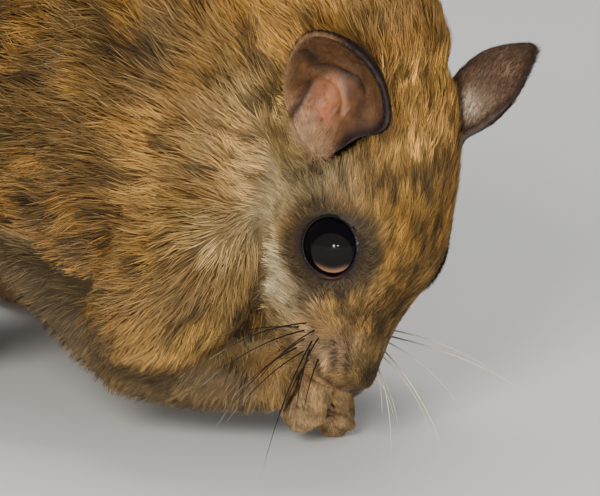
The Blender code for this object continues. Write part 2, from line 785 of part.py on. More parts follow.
def make_lock(points, half_width, half_height, across):
    """Flat tapered lock of hair with a ridge on both faces, from its sunk root to its tip."""
    line = smooth_rows(points, len(LOCK_WIDTHS))
    ways = np.gradient(line, axis=0)
    across = np.array(across)
    rings = []
    for centre, way, share in zip(line, ways, LOCK_WIDTHS):
        way = way / np.linalg.norm(way)
        wide = across - way * across.dot(way)
        wide = wide / np.linalg.norm(wide)
        high = np.cross(way, wide)
        height = half_height * max(share, 0.3)
        rings.append([centre + wide * half_width * share, centre + high * height,
                      centre - wide * half_width * share, centre - high * height])
    return loft("lock", rings, FUR, 0.4)


def tail_place(share):
    """Middle point, backward way, sideways way and hair reach at a share of the tail's length."""
    rows = smooth_rows(TAIL_LINE, 181)
    steps = np.linalg.norm(np.diff(rows[:, :3], axis=0), axis=1)
    shares = np.concatenate([[0.0], np.cumsum(steps)]) / steps.sum()
    index = int(np.searchsorted(shares, share).clip(1, 179))
    way = Vector(rows[index + 1, :3] - rows[index - 1, :3]).normalized()
    aside = Vector((0.0, 0.0, 1.0)).cross(way).normalized()
    return Vector(rows[index, :3]), way, aside, rows[index, 4], rows[index, 5]


def side_lock(share, side, draw):
    """Lock that leaves the tail's side, sweeps back and lies down to the floor at its tip."""
    middle, way, aside, _, reach = tail_place(share)
    sweep = math.radians(SIDE_LOCK_SWEEP + draw.uniform(-4.0, 4.0))
    end = reach * draw.uniform(0.93, 1.04)
    length = end / math.sin(sweep)
    start, finish = [math.cos(sweep * bend) * way - math.sin(sweep * bend) * aside * side
                     for bend in SIDE_LOCK_BEND]
    root_lift = draw.uniform(-0.4, 0.5)
    points = []
    for along in np.linspace(0.0, 1.0, LOCK_POINTS):
        out = length * (SIDE_LOCK_START + (1.0 - SIDE_LOCK_START) * along)
        point = middle + (start * (1.0 - along) + finish * along).normalized() * out
        height = (middle.z + root_lift) * (1.0 - along) + LOCK_TIP_HEIGHT * along
        point.z = height + 0.5 * math.sin(math.pi * along)
        points.append(tuple(point))
    half_width = LOCK_HALF_WIDTH * draw.uniform(0.9, 1.1)
    return make_lock(points, half_width, LOCK_HALF_HEIGHT, aside)


def top_lock(share, side, draw):
    """Shorter lock that lies along the tail's upper face."""
    _, _, aside, _, _ = tail_place(share)
    length = TOP_LOCK_LENGTH * draw.uniform(0.85, 1.1)
    out_way = aside * -side
    points = []
    for along in np.linspace(0.0, 1.0, LOCK_POINTS):
        middle, _, _, height, reach = tail_place(share + length * along / TAIL_LENGTH)
        out = TOP_LOCK_ROOT + (reach * TOP_LOCK_REACH - TOP_LOCK_ROOT) * along
        point = middle + out_way * out
        point.z = middle.z + height * (0.72 + 0.3 * math.sin(math.pi * along))
        points.append(tuple(point))
    return make_lock(points, LOCK_HALF_WIDTH * 0.8, LOCK_HALF_HEIGHT * 0.9, out_way)


def tip_lock(index, draw):
    """Lock of the brush at the tail's tip, spread like a fan."""
    middle, way, aside, _, _ = tail_place(TIP_LOCK_PLACE)
    turn = math.radians(TIP_LOCK_FAN * (index - (TIP_LOCKS - 1) / 2) + draw.uniform(-3.0, 3.0))
    direction = math.cos(turn) * way + math.sin(turn) * aside
    length = TIP_LOCK_LENGTH * math.cos(turn * 0.9) + draw.uniform(-0.6, 0.6)
    points = []
    for along in np.linspace(0.0, 1.0, LOCK_POINTS):
        point = middle + direction * (length * along - 2.0)
        point.z = middle.z * (1.0 - along) + LOCK_TIP_HEIGHT * along
        points.append(tuple(point))
    across = direction.cross(Vector((0.0, 0.0, 1.0)))
    return make_lock(points, LOCK_HALF_WIDTH * 0.85, LOCK_HALF_HEIGHT, across)


def make_tail():
    """Dense middle with flat locks that lie to both sides, along the top and round the tip."""
    draw = random.Random(TAIL_SEED)
    tail = tube("tail", TAIL_LINE, 18, 12, FUR)
    locks = []
    for side in (1, -1):
        for share in np.linspace(*SIDE_LOCK_SPAN, SIDE_LOCKS):
            locks.append(side_lock(share + draw.uniform(-0.008, 0.008), side, draw))
        for share in np.linspace(*TOP_LOCK_SPAN, TOP_LOCKS):
            locks.append(top_lock(share + 0.02 * side, side, draw))
    for index in range(TIP_LOCKS):
        locks.append(tip_lock(index, draw))
    fuse(tail, locks)
    return tail


def main():
    remove_everything()
    names = {1: "left", -1: "right"}
    parts = []
    cutters = []

    def add(obj, plain=None, plain_gap=0.0):
        """Parts an object from those already made; later ones keep clear of its enlarged plain form."""
        cutter = enlarged(plain or obj, JOINT_GAP + plain_gap)
        cut_at_floor(obj)
        part_from_neighbours(obj, cutters)
        parts.append(obj)
        cutters.append(cutter)
        if plain:
            bpy.data.objects.remove(plain, do_unlink=True)

    for side in (1, -1):
        parts.append(make_eye("eye_" + names[side], side, EYE_RADIUS))
    ear_rooms = [make_ear_room(side) for side in (1, -1)]
    add(make_head(ear_rooms), head_loft("head_plain", 15, 20), 0.25)
    for side in (1, -1):
        parts.append(make_ear(side))
    cutters += ear_rooms
    add(make_neck())
    add(torso_loft("torso", TORSO_RINGS, TORSO_SIDES), torso_loft("torso_plain", 12, 20), 0.3)
    for side in (1, -1):
        add(make_membrane(side))
        add(tube("upper_arm_" + names[side], mirrored(UPPER_ARM_LINE, side), 8, 14, FUR))
        add(tube("forearm_" + names[side], mirrored(FOREARM_LINE + WRISTS[side], side), 8, 12, FUR))
        add(make_hand(side))
        add(tube("thigh_" + names[side], mirrored(THIGH_LINE, side), 8, 16, FUR))
        add(tube("shank_" + names[side], mirrored(SHANK_LINE, side), 8, 12, FUR))
        add(make_foot(side))
    add(make_tail())
    for cutter in cutters:
        bpy.data.objects.remove(cutter, do_unlink=True)

    lows, highs = zip(*(bounds(obj) for obj in parts))
    low = np.min(lows, axis=0)
    high = np.max(highs, axis=0)
    middle = (low + high) / 2
    animal = bpy.data.objects.new("flying_squirrel", None)
    bpy.context.scene.collection.objects.link(animal)
    animal.location = (-middle[0], -middle[1], -low[2])
    for obj in parts:
        obj.parent = animal
        obj.data.shade_smooth()


main()
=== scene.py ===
import math

import bmesh
import bpy
import numpy as np
from mathutils import Matrix, Vector
from mathutils.bvhtree import BVHTree
from mathutils.kdtree import KDTree


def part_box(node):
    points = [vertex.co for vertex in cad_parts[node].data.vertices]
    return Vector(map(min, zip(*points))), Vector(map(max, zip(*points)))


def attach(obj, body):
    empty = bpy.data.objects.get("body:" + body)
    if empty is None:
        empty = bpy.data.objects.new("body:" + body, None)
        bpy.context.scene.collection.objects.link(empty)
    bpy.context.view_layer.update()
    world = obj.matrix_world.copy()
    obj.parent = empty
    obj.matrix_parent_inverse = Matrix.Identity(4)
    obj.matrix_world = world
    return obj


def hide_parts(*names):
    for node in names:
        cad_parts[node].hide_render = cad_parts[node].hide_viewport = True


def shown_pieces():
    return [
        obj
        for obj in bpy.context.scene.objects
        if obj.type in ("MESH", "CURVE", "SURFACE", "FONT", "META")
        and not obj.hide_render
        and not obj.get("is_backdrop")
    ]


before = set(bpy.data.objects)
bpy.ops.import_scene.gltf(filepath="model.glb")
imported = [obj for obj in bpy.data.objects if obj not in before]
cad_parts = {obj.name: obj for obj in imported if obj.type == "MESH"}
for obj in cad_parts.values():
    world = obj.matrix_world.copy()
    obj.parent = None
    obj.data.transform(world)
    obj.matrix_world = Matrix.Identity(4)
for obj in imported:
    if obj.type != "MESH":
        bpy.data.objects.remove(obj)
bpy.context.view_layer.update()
mm = 0.001
sideNames = {1: "Left", -1: "Right"}


# the head's own axes are forward, left and up, in millimetres from between the eyes
head = {
    "lean": -14.5,
    "bow": 82.0,
    "place": (0.0, -1.0, 25.2),
    "eye": (-0.6, 6.25, -2.6),
}


def middleOf(node):
    low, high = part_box(node)
    return (low + high) / 2


headTurn = Matrix.Rotation(math.radians(head["lean"]), 3, "X")
headTurn = headTurn @ Matrix.Rotation(math.radians(head["bow"]), 3, "Y")
eyesMiddle = (middleOf("eye_left") + middleOf("eye_right")) / 2
eyeInset = Vector((head["eye"][0], 0.0, head["eye"][2]))
headOrigin = eyesMiddle - headTurn @ eyeInset * mm
bodyOrigin = headOrigin - Vector(head["place"]) * mm
turnTable = np.array(headTurn)
headStart = np.array(headOrigin)
bodyStart = np.array(bodyOrigin)


def headPoint(place):
    return headOrigin + headTurn @ Vector(place) * mm


def headPlaces(rows):
    return headStart + np.asarray(rows) @ turnTable.T * mm


def bodyPlaces(rows):
    return bodyStart + np.asarray(rows) * mm


def inHead(points):
    return (points - headStart) / mm @ turnTable


def inBody(points):
    return (points - bodyStart) / mm


def halved(places):
    return np.column_stack([places[:, 0], np.abs(places[:, 1]), places[:, 2]])


def linear(colour):
    share = np.asarray(colour, dtype=float) / 255.0
    return np.where(share <= 0.04045, share / 12.92, ((share + 0.055) / 1.055) ** 2.4)


def unit(rows):
    return rows / np.maximum(np.linalg.norm(rows, axis=-1, keepdims=True), 1e-9)


def smoothstep(low, high, values):
    share = np.clip((values - low) / (high - low), 0.0, 1.0)
    return share * share * (3.0 - 2.0 * share)


def fade(distance, reach):
    # 1 in the middle, sinking to nothing past the reach
    return np.exp(-(distance / reach) ** 2)


def lineDistance(points, line):
    # shortest distance from each point to a line of straight stretches
    points = np.asarray(points, dtype=float)
    line = np.asarray(line, dtype=float)
    best = np.full(len(points), 1e9)
    for start, end in zip(line[:-1], line[1:]):
        along = end - start
        share = np.clip((points - start) @ along / (along @ along), 0.0, 1.0)
        gap = np.linalg.norm(points - start - share[:, None] * along, axis=1)
        best = np.minimum(best, gap)
    return best


def cloudNoise(places, scale, seed):
    # smooth noise between 0 and 1 over places in millimetres
    spots = places / scale + seed * 17.3
    cell = np.floor(spots).astype(np.int64)
    part = spots - cell
    part = part * part * (3 - 2 * part)
    total = np.zeros(len(places))
    for corner in range(8):
        step = np.array([(corner >> axis) & 1 for axis in range(3)])
        key = ((cell + step) * np.array((73856093, 19349663, 83492791))).sum(axis=1)
        key = ((key ^ (key >> 13)) * 1274126177) & 0x7FFFFFFF
        value = ((key ^ (key >> 16)) & 0xFFFF) / 65535.0
        total += value * np.prod(np.where(step, part, 1 - part), axis=1)
    return total


def mirrored(line):
    return [(row[0], -row[1], row[2]) for row in line]


# helpers for meshes
def selectOnly(*objects):
    bpy.ops.object.select_all(action="DESELECT")
    for thing in objects:
        thing.select_set(True)
    bpy.context.view_layer.objects.active = objects[0]


def joined(objects, name):
    selectOnly(*objects)
    if len(objects) > 1:
        bpy.ops.object.join()
    whole = bpy.context.view_layer.objects.active
    whole.name = name
    whole.data.name = name
    return whole


def cleaned(thing, distance=None):
    # merges points nearer to one another than the distance, where one is given, and turns the faces outwards
    selectOnly(thing)
    bpy.ops.object.mode_set(mode="EDIT")
    bpy.ops.mesh.select_all(action="SELECT")
    if distance:
        bpy.ops.mesh.remove_doubles(threshold=distance)
    bpy.ops.mesh.normals_make_consistent(inside=False)
    bpy.ops.object.mode_set(mode="OBJECT")


def modify(thing, kind, **settings):
    selectOnly(thing)
    modifier = thing.modifiers.new(kind.title(), kind)
    for key, value in settings.items():
        setattr(modifier, key, value)
    bpy.ops.object.modifier_apply(modifier=modifier.name)


def meshFrom(name, points, faces):
    mesh = bpy.data.meshes.new(name)
    mesh.from_pydata([tuple(point) for point in points], [], faces)
    mesh.update()
    thing = bpy.data.objects.new(name, mesh)
    bpy.context.scene.collection.objects.link(thing)
    mesh.polygons.foreach_set("use_smooth", [True] * len(mesh.polygons))
    return thing


def ringFaces(ringCount, sides):
    # the wall of a tube of rings, with a cap at each end
    faces = []
    for ring in range(ringCount - 1):
        for side in range(sides):
            after = (side + 1) % sides
            low = ring * sides
            faces.append((low + side, low + after, low + sides + after, low + sides + side))
    faces.append(tuple(reversed(range(sides))))
    faces.append(tuple(range((ringCount - 1) * sides, ringCount * sides)))
    return faces


def pointsOf(thing):
    mesh = thing.data
    points = np.empty(len(mesh.vertices) * 3)
    mesh.vertices.foreach_get("co", points)
    return points.reshape(-1, 3)


def normalsOf(thing):
    mesh = thing.data
    normals = np.empty(len(mesh.vertices) * 3)
    mesh.vertex_normals.foreach_get("vector", normals)
    return normals.reshape(-1, 3)


def setPoints(thing, points):
    thing.data.vertices.foreach_set("co", np.ascontiguousarray(points).ravel())
    thing.data.update()


def paint(thing, name, colours):
    attribute = thing.data.attributes.new(name, "FLOAT_COLOR", "POINT")
    rows = np.ones((len(colours), 4))
    rows[:, :3] = colours
    attribute.data.foreach_set("color", rows.ravel())


def pathAlong(rows, count):
    # a smooth curve through the rows
    table = np.array(rows, dtype=float)
    padded = np.vstack([2 * table[0] - table[1], table, 2 * table[-1] - table[-2]])
    result = []
    for step in np.linspace(0.0, len(table) - 1.0, count):
        index = min(int(step), len(table) - 2)
        t = step - index
        a, b, c, d = padded[index:index + 4]
        rise = (2 * a - 5 * b + 4 * c - d) * t ** 2 + (3 * b - a - 3 * c + d) * t ** 3
        result.append(0.5 * (2 * b + (c - a) * t + rise))
    return np.array(result)


class Wire:
    # a shader socket that arithmetic can be written with
    def __init__(self, tree, socket):
        self.tree = tree
        self.socket = socket

    def calculate(self, operation, *values):
        node = self.tree.nodes.new("ShaderNodeMath")
        node.operation = operation
        for place, value in enumerate(values):
            if isinstance(value, Wire):
                self.tree.links.new(value.socket, node.inputs[place])
            else:
                node.inputs[place].default_value = value
        return Wire(self.tree, node.outputs[0])

    def __add__(self, other):
        return self.calculate("ADD", self, other)

    def __radd__(self, other):
        return self.calculate("ADD", other, self)

    def __sub__(self, other):
        return self.calculate("SUBTRACT", self, other)

    def __rsub__(self, other):
        return self.calculate("SUBTRACT", other, self)

    def __mul__(self, other):
        return self.calculate("MULTIPLY", self, other)

    def __rmul__(self, other):
        return self.calculate("MULTIPLY", other, self)

    def __truediv__(self, other):
        return self.calculate("DIVIDE", self, other)

    def between(self, low, high):
        node = self.tree.nodes.new("ShaderNodeMapRange")
        node.interpolation_type = "SMOOTHSTEP"
        self.tree.links.new(self.socket, node.inputs["Value"])
        node.inputs["From Min"].default_value = low
        node.inputs["From Max"].default_value = high
        return Wire(self.tree, node.outputs["Result"])


class Look:
    # a material whose nodes are added one call at a time
    def __init__(self, name, **constants):
        self.material = bpy.data.materials.new(name)
        self.material.use_nodes = True
        self.tree = self.material.node_tree
        self.shader = self.tree.nodes["Principled BSDF"]
        for key, value in constants.items():
            self.shader.inputs[key.replace("_", " ")].default_value = value

    def node(self, kind, settings=None, **inputs):
        node = self.tree.nodes.new(kind)
        for key, value in (settings or {}).items():
            setattr(node, key, value)
        for key, value in inputs.items():
            self.plug(node.inputs[key.replace("_", " ")], value)
        return node

    def plug(self, socket, value):
        if isinstance(value, Wire):
            self.tree.links.new(value.socket, socket)
        else:
            socket.default_value = value

    def wire(self, node, output):
        return Wire(self.tree, node.outputs[output])

    def place(self):
        return self.wire(self.node("ShaderNodeTexCoord"), "Object")

    def attribute(self, name, output="Color"):
        return self.wire(self.node("ShaderNodeAttribute", {"attribute_name": name}), output)

    def split(self, vector):
        node = self.node("ShaderNodeSeparateXYZ", None, Vector=vector)
        return [self.wire(node, axis) for axis in "XYZ"]

    def vector(self, x, y, z):
        return self.wire(self.node("ShaderNodeCombineXYZ", None, X=x, Y=y, Z=z), "Vector")

    def noise(self, place, scale, detail=2.0):
        node = self.node("ShaderNodeTexNoise", None, Vector=place, Scale=scale, Detail=detail)
        return self.wire(node, "Fac")

    def mix(self, factor, first, second):
        node = self.node("ShaderNodeMix", {"data_type": "RGBA"})
        self.plug(node.inputs[0], factor)
        for socket, value in ((node.inputs[6], first), (node.inputs[7], second)):
            if isinstance(value, Wire):
                self.plug(socket, value)
            else:
                socket.default_value = tuple(value) + (1.0,)
        return Wire(self.tree, node.outputs[2])

    def scaled(self, colour, amount):
        # a colour times one number
        node = self.node("ShaderNodeVectorMath", {"operation": "SCALE"})
        self.plug(node.inputs[0], colour)
        self.plug(node.inputs["Scale"], amount)
        return self.wire(node, "Vector")

    def bump(self, height, strength, distance):
        node = self.node("ShaderNodeBump", None, Height=height, Strength=strength, Distance=distance)
        self.plug(self.shader.inputs["Normal"], self.wire(node, "Normal"))

    def set(self, name, value):
        self.plug(self.shader.inputs[name], value)


def dress(thing, look):
    thing.data.materials.clear()
    thing.data.materials.append(look.material)


coat = {
    "seed": 11,
    "bodyCover": 3.4,  # layers of tufts over the body
    "faceCover": 2.18,  # over the face, the neck and the hands
    "limbCover": 1.4,  # over what other short hair there is
    "shortHair": 2.6,  # hair keeps its whole length up to here, in mm
    "bodyLength": 0.62,  # and this share of what is past it
    "faceLimit": 3.0,  # up to this length hair is made of the finer blades
    "width": 0.055,
    "widthPerLength": 0.017,
    "lift": 16.0,  # degrees off the skin
    "faceLift": 20.0,
    "standing": 0.6,  # share of a guide's own rise that is kept
    "bend": 0.45,
    "curl": 0.13,
    "spread": 9.0,  # degrees that neighbours differ by
    "swirl": 34.0,  # degrees that whole patches turn by
    "clump": 0.5,  # how far tips are drawn to the one in their middle
    "clumpSize": 15,  # tufts in a clump
    "faceClump": 0.6,
    "faceClumpSize": 12,
    "clumpLimit": 0.35,  # most that a tip is drawn aside, as a share of its length
    "bladeShare": 0.6,  # of its length times its width that a blade covers
    "rootShade": 0.46,
    "tipShade": 1.15,
    "darkShare": 0.2,
    "darkTone": 0.45,
    "darkHeadTone": 0.36,
    "lightShare": 0.20,
    "lightTone": 1.45,
    "pieceLimit": 195000,  # triangles in a piece
    "patch": 0.003,  # size of a tuft's patch on the map
    "floorGap": 0.08,  # mm that every hair stays over the floor
    "grey": (88, 74, 54),
    "gold": (184, 128, 48),
    "slate": (62, 54, 48),
    "cream": (230, 200, 142),
}
# place, way and length of the hair, on the left half; the right half is its mirror image
headLie = (
    (-22.0, 0.5, 3.0, -0.80, 0.0, -0.50, 4.6),
    (-20.0, 8.0, -5.0, -0.80, 0.10, -0.40, 4.0),
    (-17.3, 5.4, 4.7, -0.97, 0.05, -0.23, 3.8),
    (-17.0, 0.5, 6.0, -1.00, 0.0, -0.10, 4.0),
    (-11.7, 3.0, 6.2, -1.00, 0.07, -0.02, 3.5),
    (-11.4, 7.5, 4.0, -1.00, 0.05, -0.04, 2.7),
    (-8.1, 5.2, 5.3, -1.00, 0.07, 0.04, 2.9),
    (-7.8, 8.9, 2.4, -1.00, 0.09, 0.0, 2.1),
    (-6.4, 10.6, -0.6, -0.97, 0.10, -0.17, 1.8),
    (-8.7, 10.6, -2.7, -0.85, 0.0, -0.50, 1.8),
    (-8.4, 11.4, -6.1, -0.60, 0.20, -0.75, 2.2),
    (-4.9, 11.0, -7.6, -0.62, 0.20, -0.72, 2.2),
    (-13.0, 11.0, -8.0, -0.75, 0.25, -0.60, 3.0),
    (-12.0, 9.0, -13.0, -0.75, 0.20, -0.60, 3.2),
    (-2.6, 0.3, 5.6, -0.98, 0.0, 0.19, 2.3),
    (-0.1, 3.5, 4.5, -0.95, -0.10, 0.31, 1.9),
    (3.2, 2.0, 3.1, -0.85, 0.15, 0.50, 1.6),
    (5.8, 2.5, 1.1, -0.82, 0.25, 0.50, 1.4),
    (8.0, 3.5, -0.9, -0.80, 0.40, 0.45, 1.2),
    (11.6, 0.3, -1.8, -0.94, 0.0, 0.25, 0.9),
    (13.4, 1.3, -2.4, -0.91, 0.38, 0.13, 0.8),
    (15.5, 0.8, -2.4, -0.75, 0.30, 0.30, 0.55),
    (9.5, 4.4, -2.3, -0.83, 0.54, 0.15, 1.1),
    (7.3, 6.4, -3.0, -0.87, 0.48, -0.05, 1.3),
    (10.8, 5.8, -4.7, -0.10, 0.35, -0.85, 1.1),
    (13.7, 4.6, -4.8, 0.40, 0.15, -0.80, 0.8),
    (14.9, 2.6, -3.3, -0.10, 0.60, -0.50, 0.65),
    (15.2, 2.6, -6.5, 0.10, 0.20, -0.90, 0.6),
    (12.7, 5.7, -7.7, 0.15, 0.10, -0.95, 1.0),
    (7.5, 7.3, -6.7, -0.43, 0.20, -0.88, 1.7),
    (5.3, 8.3, -7.6, -0.45, 0.28, -0.85, 2.1),
    (3.2, 8.9, -10.3, -0.55, 0.0, -0.80, 2.6),
    (8.9, 5.0, -13.2, -0.60, 0.10, -0.70, 2.2),
    (13.5, 0.5, -10.5, -0.60, 0.05, -0.70, 1.0),
    (10.0, 0.5, -14.0, -1.00, 0.0, -0.30, 1.6),
    (3.0, 0.5, -16.0, -1.00, 0.0, -0.10, 2.4),
    (-6.0, 0.5, -16.5, -1.00, 0.0, 0.0, 3.0),
)
bodyLie = (
    (2.7, 0.5, 47.3, -0.10, 0.0, 1.00, 4.2),
    (0.5, 8.0, 44.0, -0.20, 0.10, 0.95, 4.2),
    (-6.0, 0.5, 55.0, -0.60, 0.0, 0.80, 5.0),
    (-16.0, 0.5, 59.0, -0.80, 0.0, 0.55, 6.5),
    (-9.5, 11.9, 36.5, -0.75, 0.50, 0.25, 3.4),
    (-9.4, 11.2, 41.1, -0.61, 0.29, 0.73, 3.8),
    (-11.5, 12.3, 43.3, -0.51, 0.19, 0.84, 4.2),
    (-12.0, 13.5, 38.7, -0.68, 0.41, 0.55, 4.4),
    (-13.2, 10.4, 52.2, -0.60, 0.0, 0.80, 5.4),
    (-14.8, 12.0, 49.8, -0.66, 0.0, 0.75, 6.0),
    (-15.4, 14.8, 41.9, -0.80, 0.28, 0.50, 6.0),
    (-18.6, 14.7, 47.3, -0.82, 0.0, 0.57, 7.0),
    (-24.6, 14.9, 49.7, -0.89, 0.0, 0.45, 7.2),
    (-30.0, 0.5, 62.0, -0.95, 0.0, 0.30, 7.4),
    (-45.0, 0.5, 60.0, -1.00, 0.0, 0.0, 7.8),
    (-60.0, 0.5, 52.0, -0.85, 0.0, -0.50, 7.8),
    (-72.0, 0.5, 34.0, -0.60, 0.0, -0.80, 7.2),
    (-20.0, 16.6, 41.4, -0.89, 0.13, 0.42, 7.0),
    (-26.3, 18.2, 40.6, -0.97, 0.10, 0.18, 7.2),
    (-30.1, 17.4, 45.6, -0.99, 0.0, 0.14, 7.4),
    (-34.9, 18.9, 41.5, -1.00, 0.0, -0.03, 7.4),
    (-41.6, 18.3, 43.6, -0.99, 0.0, -0.07, 7.5),
    (-45.0, 17.0, 48.0, -0.99, 0.0, -0.10, 7.6),
    (-58.0, 16.0, 42.0, -0.90, 0.10, -0.40, 7.6),
    (-68.0, 14.0, 30.0, -0.70, 0.10, -0.70, 7.0),
    (-34.0, 20.0, 34.7, -0.99, 0.08, -0.05, 7.2),
    (-39.5, 20.7, 30.2, -0.99, 0.06, -0.10, 6.8),
    (-21.9, 17.9, 35.3, -0.94, 0.22, 0.18, 7.0),
    (-16.0, 15.9, 34.9, -0.88, 0.38, 0.20, 6.2),
    (-12.2, 17.5, 31.2, -0.75, 0.55, 0.05, 5.4),
    (-19.7, 20.4, 30.3, -0.97, 0.05, -0.17, 6.5),
    (-28.6, 19.0, 27.1, -0.95, 0.15, -0.22, 6.4),
    (-35.9, 19.6, 24.7, -0.93, 0.05, -0.34, 5.6),
    (-50.0, 21.0, 31.0, -0.96, 0.08, -0.24, 6.4),
    (-60.0, 20.0, 25.0, -0.84, 0.08, -0.54, 5.8),
    (-14.2, 21.3, 26.8, -0.82, 0.25, -0.45, 6.0),
    (-20.3, 23.1, 23.6, -0.90, 0.05, -0.42, 5.8),
    (-10.5, 15.5, 26.5, -0.30, 0.30, -0.90, 3.8),
    (-12.2, 20.1, 22.7, -0.55, 0.25, -0.80, 5.2),
    (-15.2, 22.0, 19.6, -0.69, 0.15, -0.72, 5.4),
    (-10.4, 17.0, 21.8, -0.22, 0.0, -0.95, 4.2),
    (-11.7, 16.4, 17.9, -0.30, 0.0, -0.95, 4.5),
    (-13.8, 18.3, 15.5, -0.48, 0.05, -0.88, 4.8),
    (-16.8, 21.9, 15.7, -0.66, 0.10, -0.74, 4.8),
    (-13.9, 9.6, 15.4, -0.15, -0.20, -0.95, 3.6),
    (-35.9, 22.9, 19.4, -0.55, 0.50, -0.55, 1.8),
    (-31.4, 22.8, 14.2, -0.48, 0.45, -0.72, 1.7),
    (-26.6, 21.3, 10.7, -0.58, 0.30, -0.75, 1.7),
    (-47.0, 25.8, 22.0, -0.60, 0.35, -0.60, 1.9),
    (-58.0, 25.5, 19.6, -0.70, 0.20, -0.60, 1.9),
    (-68.0, 21.5, 12.0, -0.75, 0.10, -0.60, 1.9),
    (-19.7, 20.4, 9.0, -0.75, 0.10, -0.60, 1.7),
    (-23.5, 21.5, 11.0, -0.75, 0.10, -0.60, 1.6),
    (-18.0, 18.2, 11.2, -0.75, 0.10, -0.60, 1.6),
    (-15.7, 15.4, 12.0, -0.60, 0.30, -0.62, 1.8),
    (-16.3, 15.5, 9.2, -0.60, 0.30, -0.62, 1.7),
    (-13.3, 12.9, 8.6, -0.46, 0.30, -0.75, 2.2),
    (-11.9, 11.0, 10.1, -0.10, 0.10, -0.98, 2.8),
    (-11.4, 10.7, 7.7, -0.30, 0.05, -0.93, 2.6),
    (-10.2, 7.4, 6.6, 0.10, -0.30, -0.90, 0.85),
    (-9.1, 6.3, 4.9, 0.30, -0.20, -0.90, 0.65),
    (-7.4, 0.5, 5.2, 0.40, 0.0, -0.90, 0.55),
    (-10.6, 0.0, 1.5, 0.30, 0.0, -0.95, 0.45),
    (-62.0, 18.0, 24.0, -0.75, 0.10, -0.65, 5.2),
    (-66.0, 19.0, 14.0, -0.80, 0.10, -0.55, 3.4),
    (-74.0, 17.0, 8.0, -0.40, 0.10, -0.90, 3.6),
    (-76.0, 17.0, 6.0, -0.20, 0.05, -0.95, 3.4),
    (-78.5, 16.5, 3.0, 0.20, 0.10, -0.95, 1.4),
    (-70.0, 18.5, 4.6, 0.95, 0.05, -0.20, 0.9),
    (-60.0, 18.5, 3.4, 0.98, 0.05, -0.15, 0.6),
    (-54.0, 18.5, 1.6, 0.98, 0.05, -0.20, 0.45),
    (-8.0, 0.5, 28.0, -0.10, 0.0, -1.00, 3.6),
    (-10.0, 0.5, 16.0, -0.30, 0.0, -0.95, 4.0),
    (-30.0, 0.5, 8.0, -1.00, 0.0, -0.05, 4.6),
    (-50.0, 0.5, 10.5, -1.00, 0.0, 0.0, 5.0),
    (-66.0, 0.5, 8.5, -1.00, 0.0, 0.0, 4.2),
    (-40.0, 15.0, 12.0, -0.95, 0.20, -0.20, 4.0),
    (-78.0, 0.5, 20.0, -0.80, 0.0, -0.60, 6.5),
    (-78.0, 7.0, 13.0, -0.95, 0.10, -0.30, 5.2),
    (-84.0, 0.5, 9.0, -0.92, 0.0, -0.40, 6.5),
)


# front corner to hind corner of the mouth, on the left side
mouthLine = ((15.75, 0.0, -7.5), (15.75, 0.6, -7.7), (15.3, 1.72, -8.37), (14.6, 2.85, -9.07),
             (13.7, 3.75, -10.02), (12.6, 4.52, -10.85), (11.6, 5.1, -11.38))
lipCleft = ((16.7, 0.0, -4.6), (16.4, 0.0, -6.2), (15.75, 0.0, -7.6))
mouthWhole = list(reversed(mirrored(mouthLine[1:]))) + list(mouthLine[1:])


lid = {
    "long": 3.52,  # half of the opening's length to the nose
    "wide": 3.26,  # half of its width
    "forwardTurn": 12.0,
    "upTurn": 23.0,
    "thickness": 0.2,
    "skirt": 0.95,
    "rings": 120,
    "sides": 20,
    "wetColour": (13, 9, 10),
    "dryColour": (44, 33, 25),
    "cornerColour": (104, 70, 62),
    "hairs": 3600,
    "hairWidth": 0.055,
    "clump": 0.3,
    "clumpSize": 6,
    "innerHair": (46, 35, 26),
    "outerHair": (78, 62, 42),
}
eyes = {
    "radius": 4.4,
    "segments": 72,
    "rings": 40,
    "bulge": 0.02,
    "gaze": (0.38, 0.795, 0.472),
    "black": (0.002, 0.0015, 0.0025),
    # dark grey of the disc, partly iris colour and partly painted reflection, then a painted glow of light
    # shining back out of the eye
    "irisAndReflection": (0.0075, 0.0072, 0.0065),
    "paintedShine": (0.30, 0.15, 0.085),
}


def eyeWay(side):
    forward = math.radians(lid["forwardTurn"])
    up = math.radians(lid["upTurn"])
    across = math.cos(forward)
    return Vector((math.sin(forward), side * across * math.cos(up), across * math.sin(up)))


def eyeCentre(side):
    return Vector((head["eye"][0], head["eye"][1] * side, head["eye"][2]))


def lidPlace(places, side):
    # distance from the eye's axis, stretched so that the lid is a circle, height over the eye and way out
    way = np.array(eyeWay(side))
    off = places - np.array(eyeCentre(side))
    high = off @ way
    flat = off - high[:, None] * way
    front = unit(np.array((1.0, 0.0, 0.0)) - way[0] * way)
    along = (flat @ front) * lid["wide"] / lid["long"]
    rest = np.linalg.norm(flat - (flat @ front)[:, None] * front, axis=1)
    return np.hypot(along, rest) * lid["long"] / lid["wide"], high, unit(flat)


def bothSides(rows, place):
    table = np.array(rows, dtype=float)
    other = table.copy()
    other[:, 1] *= -1
    other[:, 4] *= -1
    table = np.vstack([table, other])
    if place == "head":
        return headPlaces(table[:, :3]), unit(table[:, 3:6]) @ turnTable.T, table[:, 6]
    return bodyPlaces(table[:, :3]), unit(table[:, 3:6]), table[:, 6]


headGuides = bothSides(headLie, "head")
bodyGuides = bothSides(bodyLie, "body")
guideApart = 14.0  # square mm added between the head and the body's guides, and the other way round
guideBlur = 1.5
guideFall = 2.4


